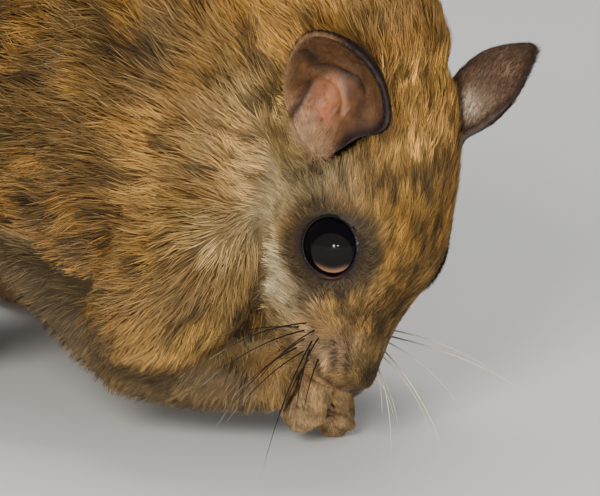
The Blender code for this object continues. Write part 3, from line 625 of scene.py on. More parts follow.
def lieAt(points, onHead):
    # way and length of the hair at each point, from the guides near it
    places = np.vstack([headGuides[0], bodyGuides[0]])
    guideWays = np.vstack([headGuides[1], bodyGuides[1]])
    guideLengths = np.concatenate([headGuides[2], bodyGuides[2]])
    guideOnHead = np.arange(len(places)) < len(headGuides[0])
    gaps = ((points[:, None, :] - places[None, :, :]) ** 2).sum(axis=2) / mm ** 2
    gaps += np.where(onHead[:, None] != guideOnHead[None, :], guideApart, 0.0)
    weights = (gaps + guideBlur) ** -guideFall
    weights /= weights.sum(axis=1, keepdims=True)
    ways = weights @ guideWays
    lengths = weights @ guideLengths
    short = coat["shortHair"]
    lengths = np.minimum(lengths, short + (lengths - short) * coat["bodyLength"])
    toLips = lineDistance(inHead(points), mouthWhole)
    lengths *= np.where(onHead, 0.45 + 0.55 * smoothstep(0.2, 2.2, toLips), 1.0)
    for side in (1, -1):
        toEye = lidPlace(inHead(points), side)[0]
        lengths *= np.where(onHead, 0.42 + 0.58 * smoothstep(3.8, 6.4, toEye), 1.0)
    return ways, lengths


skinMake = {
    "grown": 0.45,
    "voxel": 0.68,
    "pawGrown": 0.08,
    "pawVoxel": 0.25,
    "smoothing": 9,
    "sink": 0.26,  # share of the hair's length that the skin lies under the coat's surface
    "leastSink": 0.12,
    "tailSink": 0.3,
    "pawSink": 0.14,
    "bridge": ((1.0, 0.0, 3.6), (6.0, 0.0, 1.2), (10.5, 0.0, -1.2)),
    "snout": (15.6, 1.2, -3.4),
    "bodyShade": 0.42,  # brightness of the skin under the coat, as a share of the coat's colour there
    "pawColour": (122, 92, 66),
    # dark of the lips, partly their colour and partly painted shade in the mouth's crease
    "lipAndShadeColour": (36, 20, 17),
    "creaseReach": 0.52,
    "creaseDepth": 0.75,
    "handCreases": (
        ((-9.2, -8.2, 8.9), (-9.3, -7.4, 7.8), (-8.9, -6.7, 7.1), (-8.1, -6.0, 6.9)),
        ((-9.7, -6.7, 5.2), (-8.7, -6.5, 5.0), (-7.9, -6.0, 4.9)),
        ((-8.1, -6.0, 6.9), (-7.6, -6.0, 6.1), (-7.6, -5.7, 5.0)),
        ((-6.5, -3.6, 7.2), (-6.2, -4.1, 6.2), (-6.7, -4.2, 4.9), (-7.1, -4.9, 4.2), (-7.5, -5.8, 3.6)),
        ((-6.3, -0.7, 6.2), (-6.7, -0.6, 4.9), (-7.2, -0.9, 3.7)),
        ((-7.2, 1.5, 5.4), (-6.4, 0.2, 4.4), (-7.1, 0.05, 3.1)),
        ((-8.3, -1.0, 3.3), (-7.8, -0.5, 2.8), (-7.2, -0.1, 2.7)),
    ),
    "tailCore": ((-74.0, 0.0, 17.0, 4.0, 4.0), (-81.0, 0.0, 11.5, 3.2, 3.0), (-87.0, 0.4, 7.0, 2.7, 2.4),
                 (-95.0, 1.4, 4.2, 2.4, 1.9), (-108.0, 3.6, 3.7, 2.2, 1.6), (-125.0, 6.2, 3.4, 1.9, 1.5),
                 (-145.0, 7.6, 3.1, 1.5, 1.3), (-160.0, 6.8, 2.7, 1.1, 1.0), (-168.0, 5.6, 2.3, 0.7, 0.6)),
}
bothNames = ("upper_arm", "forearm", "thigh", "shank", "patagium")
fleshNodes = ["head", "neck", "torso"]
fleshNodes += [name + side for name in bothNames for side in ("_left", "_right")]
pawNodes = [name + side for name in ("hand", "foot") for side in ("_left", "_right")]


def copyOf(node):
    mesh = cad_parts[node].data.copy()
    thing = bpy.data.objects.new(node + "Copy", mesh)
    bpy.context.scene.collection.objects.link(thing)
    return thing


def makeTube(name, rows, count, sides):
    # x, y, z, half width and half height of a round body along a curve
    rows = pathAlong(rows, count)
    points = []
    for index, row in enumerate(rows):
        ahead = rows[min(index + 1, count - 1)][:3] - rows[max(index - 1, 0)][:3]
        across = unit(np.cross(ahead, (0.0, 0.0, 1.0)))
        upward = unit(np.cross(across, ahead))
        for side in range(sides):
            angle = 2 * math.pi * side / sides
            points.append(row[:3] + across * math.cos(angle) * row[3] + upward * math.sin(angle) * row[4])
    return meshFrom(name, bodyPlaces(points), ringFaces(count, sides))


print("skin: joining the flesh")
tailCore = makeTube("tailCore", skinMake["tailCore"], 60, 14)
cleaned(tailCore, 0.001 * mm)
body = joined([copyOf(node) for node in fleshNodes], "skin")
cleaned(body, 0.02 * mm)
modify(body, "DISPLACE", strength=skinMake["grown"] * mm, mid_level=0.0)
body = joined([body, tailCore], "skin")
modify(body, "REMESH", mode="VOXEL", voxel_size=skinMake["voxel"] * mm, adaptivity=0.0)
paws = joined([copyOf(node) for node in pawNodes], "paws")
cleaned(paws, 0.005 * mm)
modify(paws, "DISPLACE", strength=skinMake["pawGrown"] * mm, mid_level=0.0)
modify(paws, "REMESH", mode="VOXEL", voxel_size=skinMake["pawVoxel"] * mm, adaptivity=0.0)
modify(paws, "SMOOTH", factor=0.5, iterations=5)
softGroup = body.vertex_groups.new(name="soft")
spots = inHead(pointsOf(body))
firmness = smoothstep(9.0, 13.0, spots[:, 0]) * (np.abs(spots[:, 1]) < 9) * (spots[:, 2] > -15)
for index, firm in enumerate(firmness):
    softGroup.add([index], 1.0 - 0.85 * float(firm), "REPLACE")
modify(body, "SMOOTH", factor=0.5, iterations=skinMake["smoothing"], vertex_group="soft")
print("skin:", len(body.data.polygons), "and", len(paws.data.polygons), "faces")

# which part of the animal is nearest
labelPoints, labelFaces, labelNames = [], [], []
for node in fleshNodes + pawNodes + ["tail"]:
    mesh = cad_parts[node].data
    start = len(labelPoints)
    labelPoints += [vertex.co.copy() for vertex in mesh.vertices]
    labelFaces += [tuple(start + index for index in polygon.vertices) for polygon in mesh.polygons]
    labelNames += [node.replace("_left", "").replace("_right", "")] * len(mesh.polygons)
labelTree = BVHTree.FromPolygons(labelPoints, labelFaces)


def labelsOf(points):
    return np.array([labelNames[labelTree.find_nearest(Vector(point))[2]] for point in points])


def creased(points):
    # how far each point lies in a crease of the folded hands
    share = np.zeros(len(points))
    for line in skinMake["handCreases"]:
        share = np.maximum(share, fade(lineDistance(inBody(points), line), skinMake["creaseReach"]))
    return share


def refine(thing, near, cuts):
    # splits the faces where near(points in the head) is true
    mesh = bmesh.new()
    mesh.from_mesh(thing.data)
    points = inHead(np.array([vertex.co[:] for vertex in mesh.verts]))
    chosen = near(points)
    edges = [edge for edge in mesh.edges if chosen[edge.verts[0].index] and chosen[edge.verts[1].index]]
    bmesh.ops.subdivide_edges(mesh, edges=edges, cuts=cuts, use_grid_fill=True)
    mesh.to_mesh(thing.data)
    mesh.free()


print("skin: the face")
refine(body, lambda p: (p[:, 0] > 8.5) & (np.abs(p[:, 1]) < 8.0) & (p[:, 2] > -14.0), 1)
refine(body, lambda p: np.minimum(lineDistance(p, mouthWhole), lineDistance(p, lipCleft)) < 2.0, 1)
modify(body, "SMOOTH", factor=0.35, iterations=2)

points = pointsOf(body)
normals = normalsOf(body)
labels = labelsOf(points)
onHead = labels == "head"
_, lengths = lieAt(points, onHead)
sink = skinMake["grown"] + np.maximum(lengths * skinMake["sink"], skinMake["leastSink"])
sink[labels == "tail"] = skinMake["tailSink"]
places = inHead(points)
fromMouth = lineDistance(places, mouthWhole)
fromCleft = lineDistance(places, lipCleft)
groove = 0.9 * fade(fromMouth, 0.36) + 0.4 * fade(fromCleft, 0.25)
lips = 0.25 * fade(fromMouth - 0.95, 0.5)
snout = 0.4 * fade(np.linalg.norm(halved(places) - skinMake["snout"], axis=1), 2.2)
bridge = 0.6 * fade(lineDistance(halved(places), skinMake["bridge"]), 4.0)
sink += np.where(onHead, groove - lips - snout - bridge, 0.0)
points -= normals * sink[:, None] * mm
setPoints(body, points)

pawPoints = pointsOf(paws)
pawSink = skinMake["pawSink"] + skinMake["creaseDepth"] * creased(pawPoints)
setPoints(paws, pawPoints - normalsOf(paws) * pawSink[:, None] * mm)
skin = joined([body, paws], "skin")
skin.data.polygons.foreach_set("use_smooth", [True] * len(skin.data.polygons))
skin.data.update()


partColours = {
    "head": (158, 120, 56),
    "neck": (160, 116, 54),
    # the torso's colour is partly its fur and partly painted shade over the flank
    "torso": (90, 66, 31),
    "upper_arm": (116, 86, 41),
    "forearm": (146, 114, 66),
    "patagium": (80, 65, 42),
    "thigh": (118, 86, 40),
    "shank": (104, 82, 48),
    "hand": (182, 148, 100),
    "foot": (128, 100, 68),
    "tail": (112, 86, 48),
}
# place in the head, reach, colour and strength; on both sides
headMarks = (
    ((-12.5, 1.5, 6.2), 4.2, (214, 162, 94), 0.9),
    ((-17.0, 4.0, 4.0), 4.5, (184, 138, 70), 0.7),
    ((-6.2, 2.2, 6.0), 2.0, (62, 52, 38), 0.7),
    ((-5.2, 5.4, 5.0), 1.4, (64, 54, 38), 0.6),
    ((-3.0, 4.0, 5.0), 3.5, (148, 106, 42), 0.8),
    ((-6.0, 10.0, 0.5), 3.6, (150, 128, 92), 0.9),
    ((-8.5, 10.5, -3.5), 3.2, (168, 146, 106), 0.85),
    ((-5.0, 11.0, -8.0), 5.0, (184, 164, 120), 0.9),
    ((3.0, 9.0, -10.0), 5.0, (226, 204, 158), 0.9),
    # pale cheek fur, made brighter still as painted light on the lower cheek, which lies in shade
    ((6.2, 8.0, -9.8), 4.2, (254, 234, 184), 0.95),
    ((6.2, 7.4, -5.8), 2.4, (120, 100, 74), 0.85),
    ((-7.5, 10.6, -3.2), 2.6, (178, 154, 112), 0.85),
    ((-13.0, 10.5, -10.0), 5.0, (184, 154, 98), 0.85),
    ((9.0, 5.0, -13.0), 4.5, (182, 160, 118), 0.9),
    ((4.6, 7.4, -4.0), 1.9, (92, 74, 50), 0.7),
    # darker on the muzzle's side and the bridge, partly fur colour and partly painted shade where the face
    # turns from the light
    ((7.5, 2.0, -0.3), 3.6, (50, 38, 15), 0.9),
    ((4.0, 0.0, 2.6), 3.5, (112, 82, 36), 0.75),
    ((1.5, 6.2, 2.8), 3.0, (182, 130, 52), 0.8),
    ((12.0, 4.2, -3.8), 3.0, (178, 140, 108), 0.85),
    ((10.8, 5.8, -6.4), 2.6, (184, 150, 112), 0.85),
    # darker on the snout's top, partly fur colour and partly painted shade
    ((15.0, 0.0, -2.2), 2.6, (54, 40, 22), 0.85),
    ((15.4, 2.2, -6.0), 2.0, (170, 128, 98), 0.8),
    ((13.0, 0.0, -11.5), 3.5, (184, 162, 122), 0.85),
    ((0.0, 0.0, -16.0), 7.0, (190, 170, 130), 0.9),
    ((-11.0, 10.2, -3.8), 2.0, (202, 172, 138), 0.9),
)
bodyMarks = (
    ((-45.0, 0.0, 60.0), 13.0, (104, 74, 34), 0.55),
    ((-68.0, 0.0, 42.0), 12.0, (108, 80, 42), 0.5),
    ((-14.0, 0.0, 58.0), 8.0, (120, 88, 38), 0.7),
    ((-9.2, 11.6, 38.0), 5.6, (182, 156, 110), 0.95),
    ((-12.5, 12.5, 41.0), 3.6, (182, 148, 90), 0.8),
    ((-17.0, 19.5, 13.5), 4.5, (188, 144, 76), 0.7),
    # darker, partly fur colour and partly painted shade where the key lamp falls on the shoulder
    ((-21.0, 22.5, 27.0), 4.5, (146, 110, 56), 0.6),
    ((-9.0, 13.2, 31.0), 4.6, (184, 160, 116), 0.95),
    ((-11.2, 16.8, 28.0), 2.2, (196, 164, 106), 0.9),
    ((-10.2, 16.8, 22.0), 2.2, (170, 138, 76), 0.75),
    # painted light: the underside of the arm is made brighter than its fur so that it reads as lit though it
    # faces down
    ((-12.6, 16.8, 15.8), 3.4, (240, 186, 92), 0.92),
    ((-12.0, 13.0, 19.0), 2.2, (62, 50, 34), 0.7),
    ((-18.0, 11.0, 49.0), 6.0, (132, 97, 44), 0.7),
    ((-18.2, 16.0, 39.6), 3.6, (202, 148, 72), 0.6),
    ((-20.0, 18.5, 37.0), 3.4, (184, 140, 76), 0.7),
    ((-24.0, 20.5, 31.0), 3.2, (214, 160, 84), 0.85),
    ((-20.3, 18.0, 31.5), 4.2, (206, 158, 88), 0.7),
    # darker, partly fur colour and partly painted shade where the key lamp falls on the arm
    ((-15.8, 22.0, 20.2), 4.4, (144, 108, 54), 0.8),
    ((-12.0, 11.0, 8.0), 2.4, (166, 130, 78), 0.7),
    ((-38.0, 20.0, 24.0), 5.0, (84, 66, 40), 0.6),
    ((-30.0, 0.0, 7.0), 13.0, (198, 180, 142), 0.95),
    ((-50.0, 0.0, 9.0), 13.0, (198, 180, 142), 0.95),
    ((-66.0, 0.0, 7.0), 9.0, (192, 174, 136), 0.9),
    ((-9.0, 0.0, 22.0), 8.0, (196, 176, 136), 0.9),
    ((-16.2, 17.0, 9.8), 3.8, (100, 82, 56), 0.9),
    ((-20.5, 20.5, 9.5), 4.0, (96, 78, 52), 0.9),
    ((-27.5, 21.6, 12.0), 4.5, (92, 74, 48), 0.9),
    ((-12.8, 12.2, 8.8), 2.4, (112, 88, 60), 0.85),
    ((-11.8, 10.6, 9.8), 1.5, (166, 120, 64), 0.75),
    ((-11.3, 10.8, 6.4), 1.4, (214, 184, 134), 0.85),
)
membraneEdge = ((-16.5, 11.5, 6.4), (-20.5, 15.5, 6.2), (-25.4, 19.5, 6.0), (-31.4, 23.0, 11.9),
                (-35.8, 24.0, 15.8), (-40.0, 24.8, 19.0), (-47.0, 25.8, 21.4), (-56.0, 26.0, 19.6),
                (-64.0, 24.0, 15.4), (-72.0, 19.6, 9.2), (-76.0, 17.8, 6.2))
# place on the flank, length and width of the partings where the grey underfur shows
partings = (
    ((-31.0, 16.5, 50.0), 6.5, 1.5), ((-26.0, 17.0, 46.5), 4.0, 0.9), ((-20.5, 17.8, 40.2), 3.0, 0.9),
    ((-22.5, 18.6, 36.2), 2.4, 1.2), ((-28.0, 19.2, 33.0), 2.6, 1.1), ((-24.5, 19.8, 30.5), 2.8, 0.8),
    ((-17.5, 21.5, 27.5), 3.0, 0.8), ((-40.0, 18.5, 42.0), 4.0, 0.9), ((-50.0, 17.0, 44.0), 5.0, 1.1),
    ((-57.0, 12.0, 45.0), 4.5, 1.0), ((-38.0, 6.0, 60.0), 5.0, 1.1), ((-52.0, 5.0, 56.0), 5.0, 1.0),
    ((-46.0, 20.5, 34.0), 3.6, 0.9), ((-64.0, 13.0, 34.0), 4.0, 1.0), ((-18.5, 15.5, 46.5), 2.6, 0.7),
    ((-36.0, 12.0, 56.0), 4.0, 0.9), ((-43.0, 19.5, 38.5), 3.0, 0.7), ((-33.0, 19.0, 38.0), 2.2, 0.7),
)
eyeMark = {"inner": 5.0, "outer": 6.9, "colour": (66, 53, 37), "centre": (0.3, 8.4, -2.1)}
# colours along lines: the membrane's edge, painted shade in the hands' creases, and the mouth line, partly
# lip colour and partly painted shade
lineColours = {"membrane": (128, 102, 66), "creaseShade": (44, 31, 22), "mouth": (36, 25, 18)}


def markingsAndPaintedLight(points, labels):
    # linear colour of the coat at each point: its markings, with painted shade in the hands' creases, along
    # the mouth and on some marks, and painted light on others
    colours = np.array([partColours[label] for label in labels], dtype=float)
    onHead = labels == "head"
    inTheHead = halved(inHead(points))
    inTheBody = halved(inBody(points))

    def blend(colour, share):
        colours[:] += (np.array(colour, dtype=float) - colours) * np.clip(share, 0.0, 1.0)[:, None]

    for place, reach, colour, strength in headMarks:
        gap = np.linalg.norm(inTheHead - place, axis=1)
        blend(colour, np.where(onHead, strength * fade(gap, reach), 0.0))
    furry = ~np.isin(labels, ("head", "hand", "foot", "tail"))
    for place, reach, colour, strength in bodyMarks:
        gap = np.linalg.norm(inTheBody - place, axis=1)
        blend(colour, np.where(furry, strength * fade(gap, reach), 0.0))
    edge = lineDistance(inTheBody, membraneEdge)
    blend(lineColours["membrane"], np.where(furry, 0.75 * fade(edge, 1.6), 0.0))
    ring = np.linalg.norm(inTheHead - eyeMark["centre"], axis=1)
    nearEye = 1 - smoothstep(eyeMark["inner"], eyeMark["outer"], ring)
    blend(eyeMark["colour"], np.where(onHead, 0.95 * nearEye, 0.0))
    # painted shade in the creases of the folded hands
    inCrease = np.minimum(1.25 * creased(points), 0.95)
    blend(lineColours["creaseShade"], np.where(labels == "hand", inCrease, 0.0))
    # the hair along the mouth is darkened, partly lip colour and partly painted shade in the mouth's crease
    toMouth = lineDistance(inHead(points), mouthWhole)
    blend(lineColours["mouth"], np.where(onHead, 0.95 * np.exp(-(toMouth / 0.75) ** 4), 0.0))
    return linear(colours)


ear = {
    "place": (-14.0, 9.9, -0.3),
    "tipWays": {1: (-0.82, 0.50, 0.34), -1: (-0.67, 0.60, 0.44)},
    "openWays": {1: (0.75, 0.60, 0.25), -1: (0.50, 0.84, 0.05)},
    "length": 14.0,
    "middle": 0.42,  # height of the hollow's middle, as a share of the length
    "halfWidth": 6.4,
    "cupDepths": {1: 2.4, -1: 4.2},
    "outline": ((231.0, 32.0, 0.26), (300.0, 28.0, -0.2)),
    "whorl": (-11.1, 9.8, -3.6),
    "notch": (262.0, 34.0, 2.8),
    "rimThickness": 0.5,
    "rootThickness": 1.4,
    "rings": 44,
    "sides": 168,
    "hairs": 18.0,
    "backPale": (3.6, 3.0),
    "inside": (104, 72, 44),
    "back": (106, 82, 62),
    "backRoot": (206, 184, 160),
    "backNearRim": (44, 30, 24),
    "backRim": (66, 46, 34),
    "hairTone": (168, 134, 100),
    "hairWidth": 0.075,
    "clump": 0.2,
    "clumpSize": 8,
    "narrow": {1: 0.74, -1: 1.0},
}


def earAxes(side):
    mirror = Vector((1.0, side, 1.0))
    tip = (Vector(ear["tipWays"][side]) * mirror).normalized()
    opening = Vector(ear["openWays"][side]) * mirror
    opening = (opening - tip * opening.dot(tip)).normalized()
    wide = tip.cross(opening) * side
    if wide.z < 0:
        wide = -wide
    return np.array(wide), np.array(tip), np.array(opening)


def earBase(side):
    place = ear["place"]
    return np.array((place[0], place[1] * side, place[2]))


def earStretch(degrees):
    stretch = np.ones_like(degrees)
    for middle, reach, amount in ear["outline"]:
        stretch += amount * fade(degrees - middle, reach)
    return stretch


def earLocal(places, side):
    wide, tip, opening = earAxes(side)
    return (places - earBase(side)) @ np.column_stack([wide, tip, opening])


def insideEar(places, side):
    # true where a point of the head lies in the hollow of the ear
    local = earLocal(places, side)
    across = local[:, 0] / ear["halfWidth"]
    above = local[:, 1] / ear["length"] - ear["middle"]
    angle = np.arctan2(above / 0.6, across)
    degrees = np.degrees(angle) % 360.0
    radius = np.hypot(across, above / 0.6) / earStretch(degrees)
    back = -ear["cupDepths"][side] * (1.0 - np.minimum(radius, 1.0) ** 2.2) - 2.4
    return (radius < 1.04) & (local[:, 2] > back) & (local[:, 2] < 6.0)


def hairless(points, normals, labels):
    places = inHead(points)
    onHead = labels == "head"
    bare = np.zeros(len(points), dtype=bool)
    for side in (1, -1):
        out, high, _ = lidPlace(places, side)
        bare |= onHead & (out < 3.8) & (high > 0.0)
        bare |= insideEar(places, side) & (onHead | (labels == "neck"))
    bare |= onHead & (lineDistance(places, mouthWhole) < 0.5)
    bare |= onHead & (np.linalg.norm((places - (16.4, 0.0, -4.3)) / (1.5, 1.6, 1.35), axis=1) < 1.0)
    paw = np.isin(labels, ("hand", "foot"))
    bare |= paw & (normals[:, 2] < -0.8) & (inBody(points)[:, 2] < 0.9)
    bare |= labels == "tail"
    return bare


def turnedAside(points, ways, labels):
    # hair close to an eye turns away from it, and before the ear it spreads from a whorl
    places = inHead(points)
    onHead = labels == "head"
    for side in (1, -1):
        out, high, away = lidPlace(places, side)
        share = np.where(onHead & (high > 0.0), 1.0 - smoothstep(3.9, 6.6, out), 0.0) * 0.75
        ways = ways * (1 - share)[:, None] + (away @ turnTable.T) * share[:, None]
        off = places - np.array(ear["whorl"]) * (1.0, side, 1.0)
        gap = np.linalg.norm(off, axis=1)
        share = np.where(onHead, 1.0 - smoothstep(1.0, 4.0, gap), 0.0) * 0.8
        ways = ways * (1 - share)[:, None] + (unit(off) @ turnTable.T) * share[:, None]
    return ways


# a rough copy of the skin is unwrapped, and every tuft takes its place on that map
mapMake = {"faces": 9000, "angle": 66, "margin": 0.002}
print("skin: unwrapping its shape")
chart = bpy.data.objects.new("chart", skin.data.copy())
bpy.context.scene.collection.objects.link(chart)
modify(chart, "DECIMATE", ratio=mapMake["faces"] / max(len(chart.data.polygons) * 2, 1))
selectOnly(chart)
bpy.ops.object.mode_set(mode="EDIT")
bpy.ops.mesh.select_all(action="SELECT")
bpy.ops.uv.smart_project(angle_limit=math.radians(mapMake["angle"]), island_margin=mapMake["margin"])
bpy.ops.object.mode_set(mode="OBJECT")
chartMesh = chart.data
chartMesh.calc_loop_triangles()
chartPoints = [vertex.co.copy() for vertex in chartMesh.vertices]
chartFaces = [tuple(triangle.vertices) for triangle in chartMesh.loop_triangles]
chartUvs = np.empty(len(chartMesh.loops) * 2)
chartMesh.uv_layers.active.data.foreach_get("uv", chartUvs)
chartUvs = chartUvs.reshape(-1, 2)[[tuple(triangle.loops) for triangle in chartMesh.loop_triangles]]
chartTree = BVHTree.FromPolygons(chartPoints, chartFaces)
chartCorners = np.array([[chartPoints[index][:] for index in face] for face in chartFaces])
bpy.data.objects.remove(chart)


def mapPlaces(points):
    faces = np.array([chartTree.find_nearest(Vector(point))[2] for point in points])
    corners = chartCorners[faces]
    first = corners[:, 1] - corners[:, 0]
    second = corners[:, 2] - corners[:, 0]
    offset = points - corners[:, 0]
    a = (first * first).sum(1)
    b = (first * second).sum(1)
    c = (second * second).sum(1)
    d = (offset * first).sum(1)
    e = (offset * second).sum(1)
    under = np.maximum(a * c - b * b, 1e-20)
    u = np.clip((c * d - b * e) / under, 0.0, 1.0)
    v = np.clip((a * e - b * d) / under, 0.0, 1.0 - u)
    uvs = chartUvs[faces]
    return uvs[:, 0] + u[:, None] * (uvs[:, 1] - uvs[:, 0]) + v[:, None] * (uvs[:, 2] - uvs[:, 0])


random = np.random.default_rng(coat["seed"])

skinPoints = pointsOf(skin)
skinNormals = normalsOf(skin)
skinLabels = labelsOf(skinPoints)
skinOnHead = skinLabels == "head"
skinWays, skinLengths = lieAt(skinPoints, skinOnHead)
skinWays = turnedAside(skinPoints, skinWays, skinLabels)
skinBare = hairless(skinPoints, skinNormals, skinLabels)
skin.data.calc_loop_triangles()
skinTriangles = np.empty(len(skin.data.loop_triangles) * 3, dtype=np.int64)
skin.data.loop_triangles.foreach_get("vertices", skinTriangles)
skinTriangles = skinTriangles.reshape(-1, 3)
corners = skinPoints[skinTriangles]
areas = np.linalg.norm(np.cross(corners[:, 1] - corners[:, 0], corners[:, 2] - corners[:, 0]), axis=1) / 2
areas /= mm ** 2
print("skin: area", round(float(areas.sum())), "square mm,", len(skinTriangles), "triangles")


def widthFor(lengths):
    return coat["width"] + coat["widthPerLength"] * lengths


def scatter(densities):
    # roots over the skin's triangles, at densities a square millimetre
    expected = areas * densities
    total = int(expected.sum())
    steps = (np.arange(total) + random.random(total)) / total
    chosen = np.searchsorted(np.cumsum(expected) / expected.sum(), steps)
    chosen = np.minimum(chosen, len(areas) - 1)
    first = np.sqrt(random.random(total))
    second = random.random(total)
    shares = np.column_stack([1 - first, first * (1 - second), first * second])
    rows = skinTriangles[chosen]

    def read(field):
        return (field[rows] * (shares[:, :, None] if field.ndim == 2 else shares)).sum(axis=1)

    labels = skinLabels[rows[:, 0]]
    roots = read(skinPoints)
    normals = unit(read(skinNormals))
    return roots, normals, read(skinWays), read(skinLengths), labels


def towardsClumps(roots, tips, size, amount):
    # draws the tips of neighbouring tufts together
    seeds = random.permutation(len(roots))[:max(len(roots) // size, 1)]
    tree = KDTree(len(seeds))
    for index, seed in enumerate(seeds):
        tree.insert(Vector(roots[seed]), index)
    tree.balance()
    nearest = seeds[[tree.find(Vector(root))[1] for root in roots]]
    return (tips[nearest] - tips) * amount


def growTufts(name, roots, normals, ways, lengths, widths, lifts, colours, uvs, clump, clumpSize, fine):
    # closed three-sided blades: the short ones with a flat root, the long ones drawn to a point at both ends
    count = len(roots)
    flat = unit(ways - (ways * normals).sum(1)[:, None] * normals)
    across = np.cross(flat, normals)
    size = (lengths * mm)[:, None]
    half = (widths * mm / 2)[:, None]
    rise = np.sin(lifts)[:, None]
    run = np.cos(lifts)[:, None]
    bend = coat["bend"]
    curl = random.normal(0.0, coat["curl"], (count, 1)) * size

    def centre(share):
        middle = roots + flat * size * run * share + normals * size * rise * (share - bend * share ** 2)
        return middle + across * curl * share ** 2

    tips = centre(1.0)
    pull = towardsClumps(roots, tips, clumpSize, clump)
    pull -= (pull * normals).sum(1)[:, None] * normals * 0.6
    longest = np.maximum(np.linalg.norm(pull, axis=1), 1e-9)
    pull *= np.minimum(1.0, lengths * mm * coat["clumpLimit"] / longest)[:, None]
    # share of the length, side of the blade, height over its middle line and which colour, for each point
    if fine:
        corners = ((0.0, -0.9, -0.6, 0), (0.0, 0.0, 0.15, 0), (0.0, 0.9, -0.6, 0), (1.0, 0.0, 0.0, 2))
        pattern = ((0, 1, 3), (1, 2, 3), (2, 0, 3), (0, 2, 1))
    else:
        corners = ((0.0, 0.0, -1.6, 0), (0.4, -1.0, 0.0, 1), (0.4, 0.0, 0.75, 1), (0.4, 1.0, 0.0, 1),
                   (1.0, 0.0, 0.0, 2))
        pattern = ((1, 2, 4), (2, 3, 4), (3, 1, 4), (2, 1, 0), (3, 2, 0), (1, 3, 0))
    places, outward, shades, strands, patches = [], [], [], [], []
    number = np.arange(count) % 997
    for share, side, height, tint in corners:
        middle = centre(share) + pull * share ** 1.5
        places.append(middle + (across * side + normals * height) * half)
        outward.append(unit(normals + across * side * 0.55))
        shades.append(colours[:, tint])
        strands.append(np.column_stack([np.full(count, side), share * lengths, number]))
        patches.append(uvs + (side * coat["patch"] / 2, share * coat["patch"] - coat["patch"] / 2))

    def rows(table):
        return np.stack(table, axis=1).reshape(count * len(corners), -1)

    points = rows(places)
    points[:, 2] = np.maximum(points[:, 2], coat["floorGap"] * mm)
    faces = (np.arange(count)[:, None, None] * len(corners) + np.array(pattern)[None]).reshape(-1, 3)
    mesh = bpy.data.meshes.new(name)
    mesh.vertices.add(len(points))
    mesh.vertices.foreach_set("co", points.ravel())
    mesh.loops.add(len(faces) * 3)
    mesh.loops.foreach_set("vertex_index", faces.ravel())
    mesh.polygons.add(len(faces))
    mesh.polygons.foreach_set("loop_start", np.arange(len(faces)) * 3)
    mesh.polygons.foreach_set("use_smooth", np.ones(len(faces), dtype=bool))
    mesh.update(calc_edges=True)
    mesh.validate()
    thing = bpy.data.objects.new(name, mesh)
    bpy.context.scene.collection.objects.link(thing)
    paint(thing, "coatColour", rows(shades))
    attribute = mesh.attributes.new("strand", "FLOAT_VECTOR", "POINT")
    attribute.data.foreach_set("vector", rows(strands).ravel())
    layer = mesh.uv_layers.new(name="OFBake")
    layer.data.foreach_set("uv", rows(patches)[faces.ravel()].ravel())
    mesh.normals_split_custom_set_from_vertices(rows(outward).tolist())
    return thing


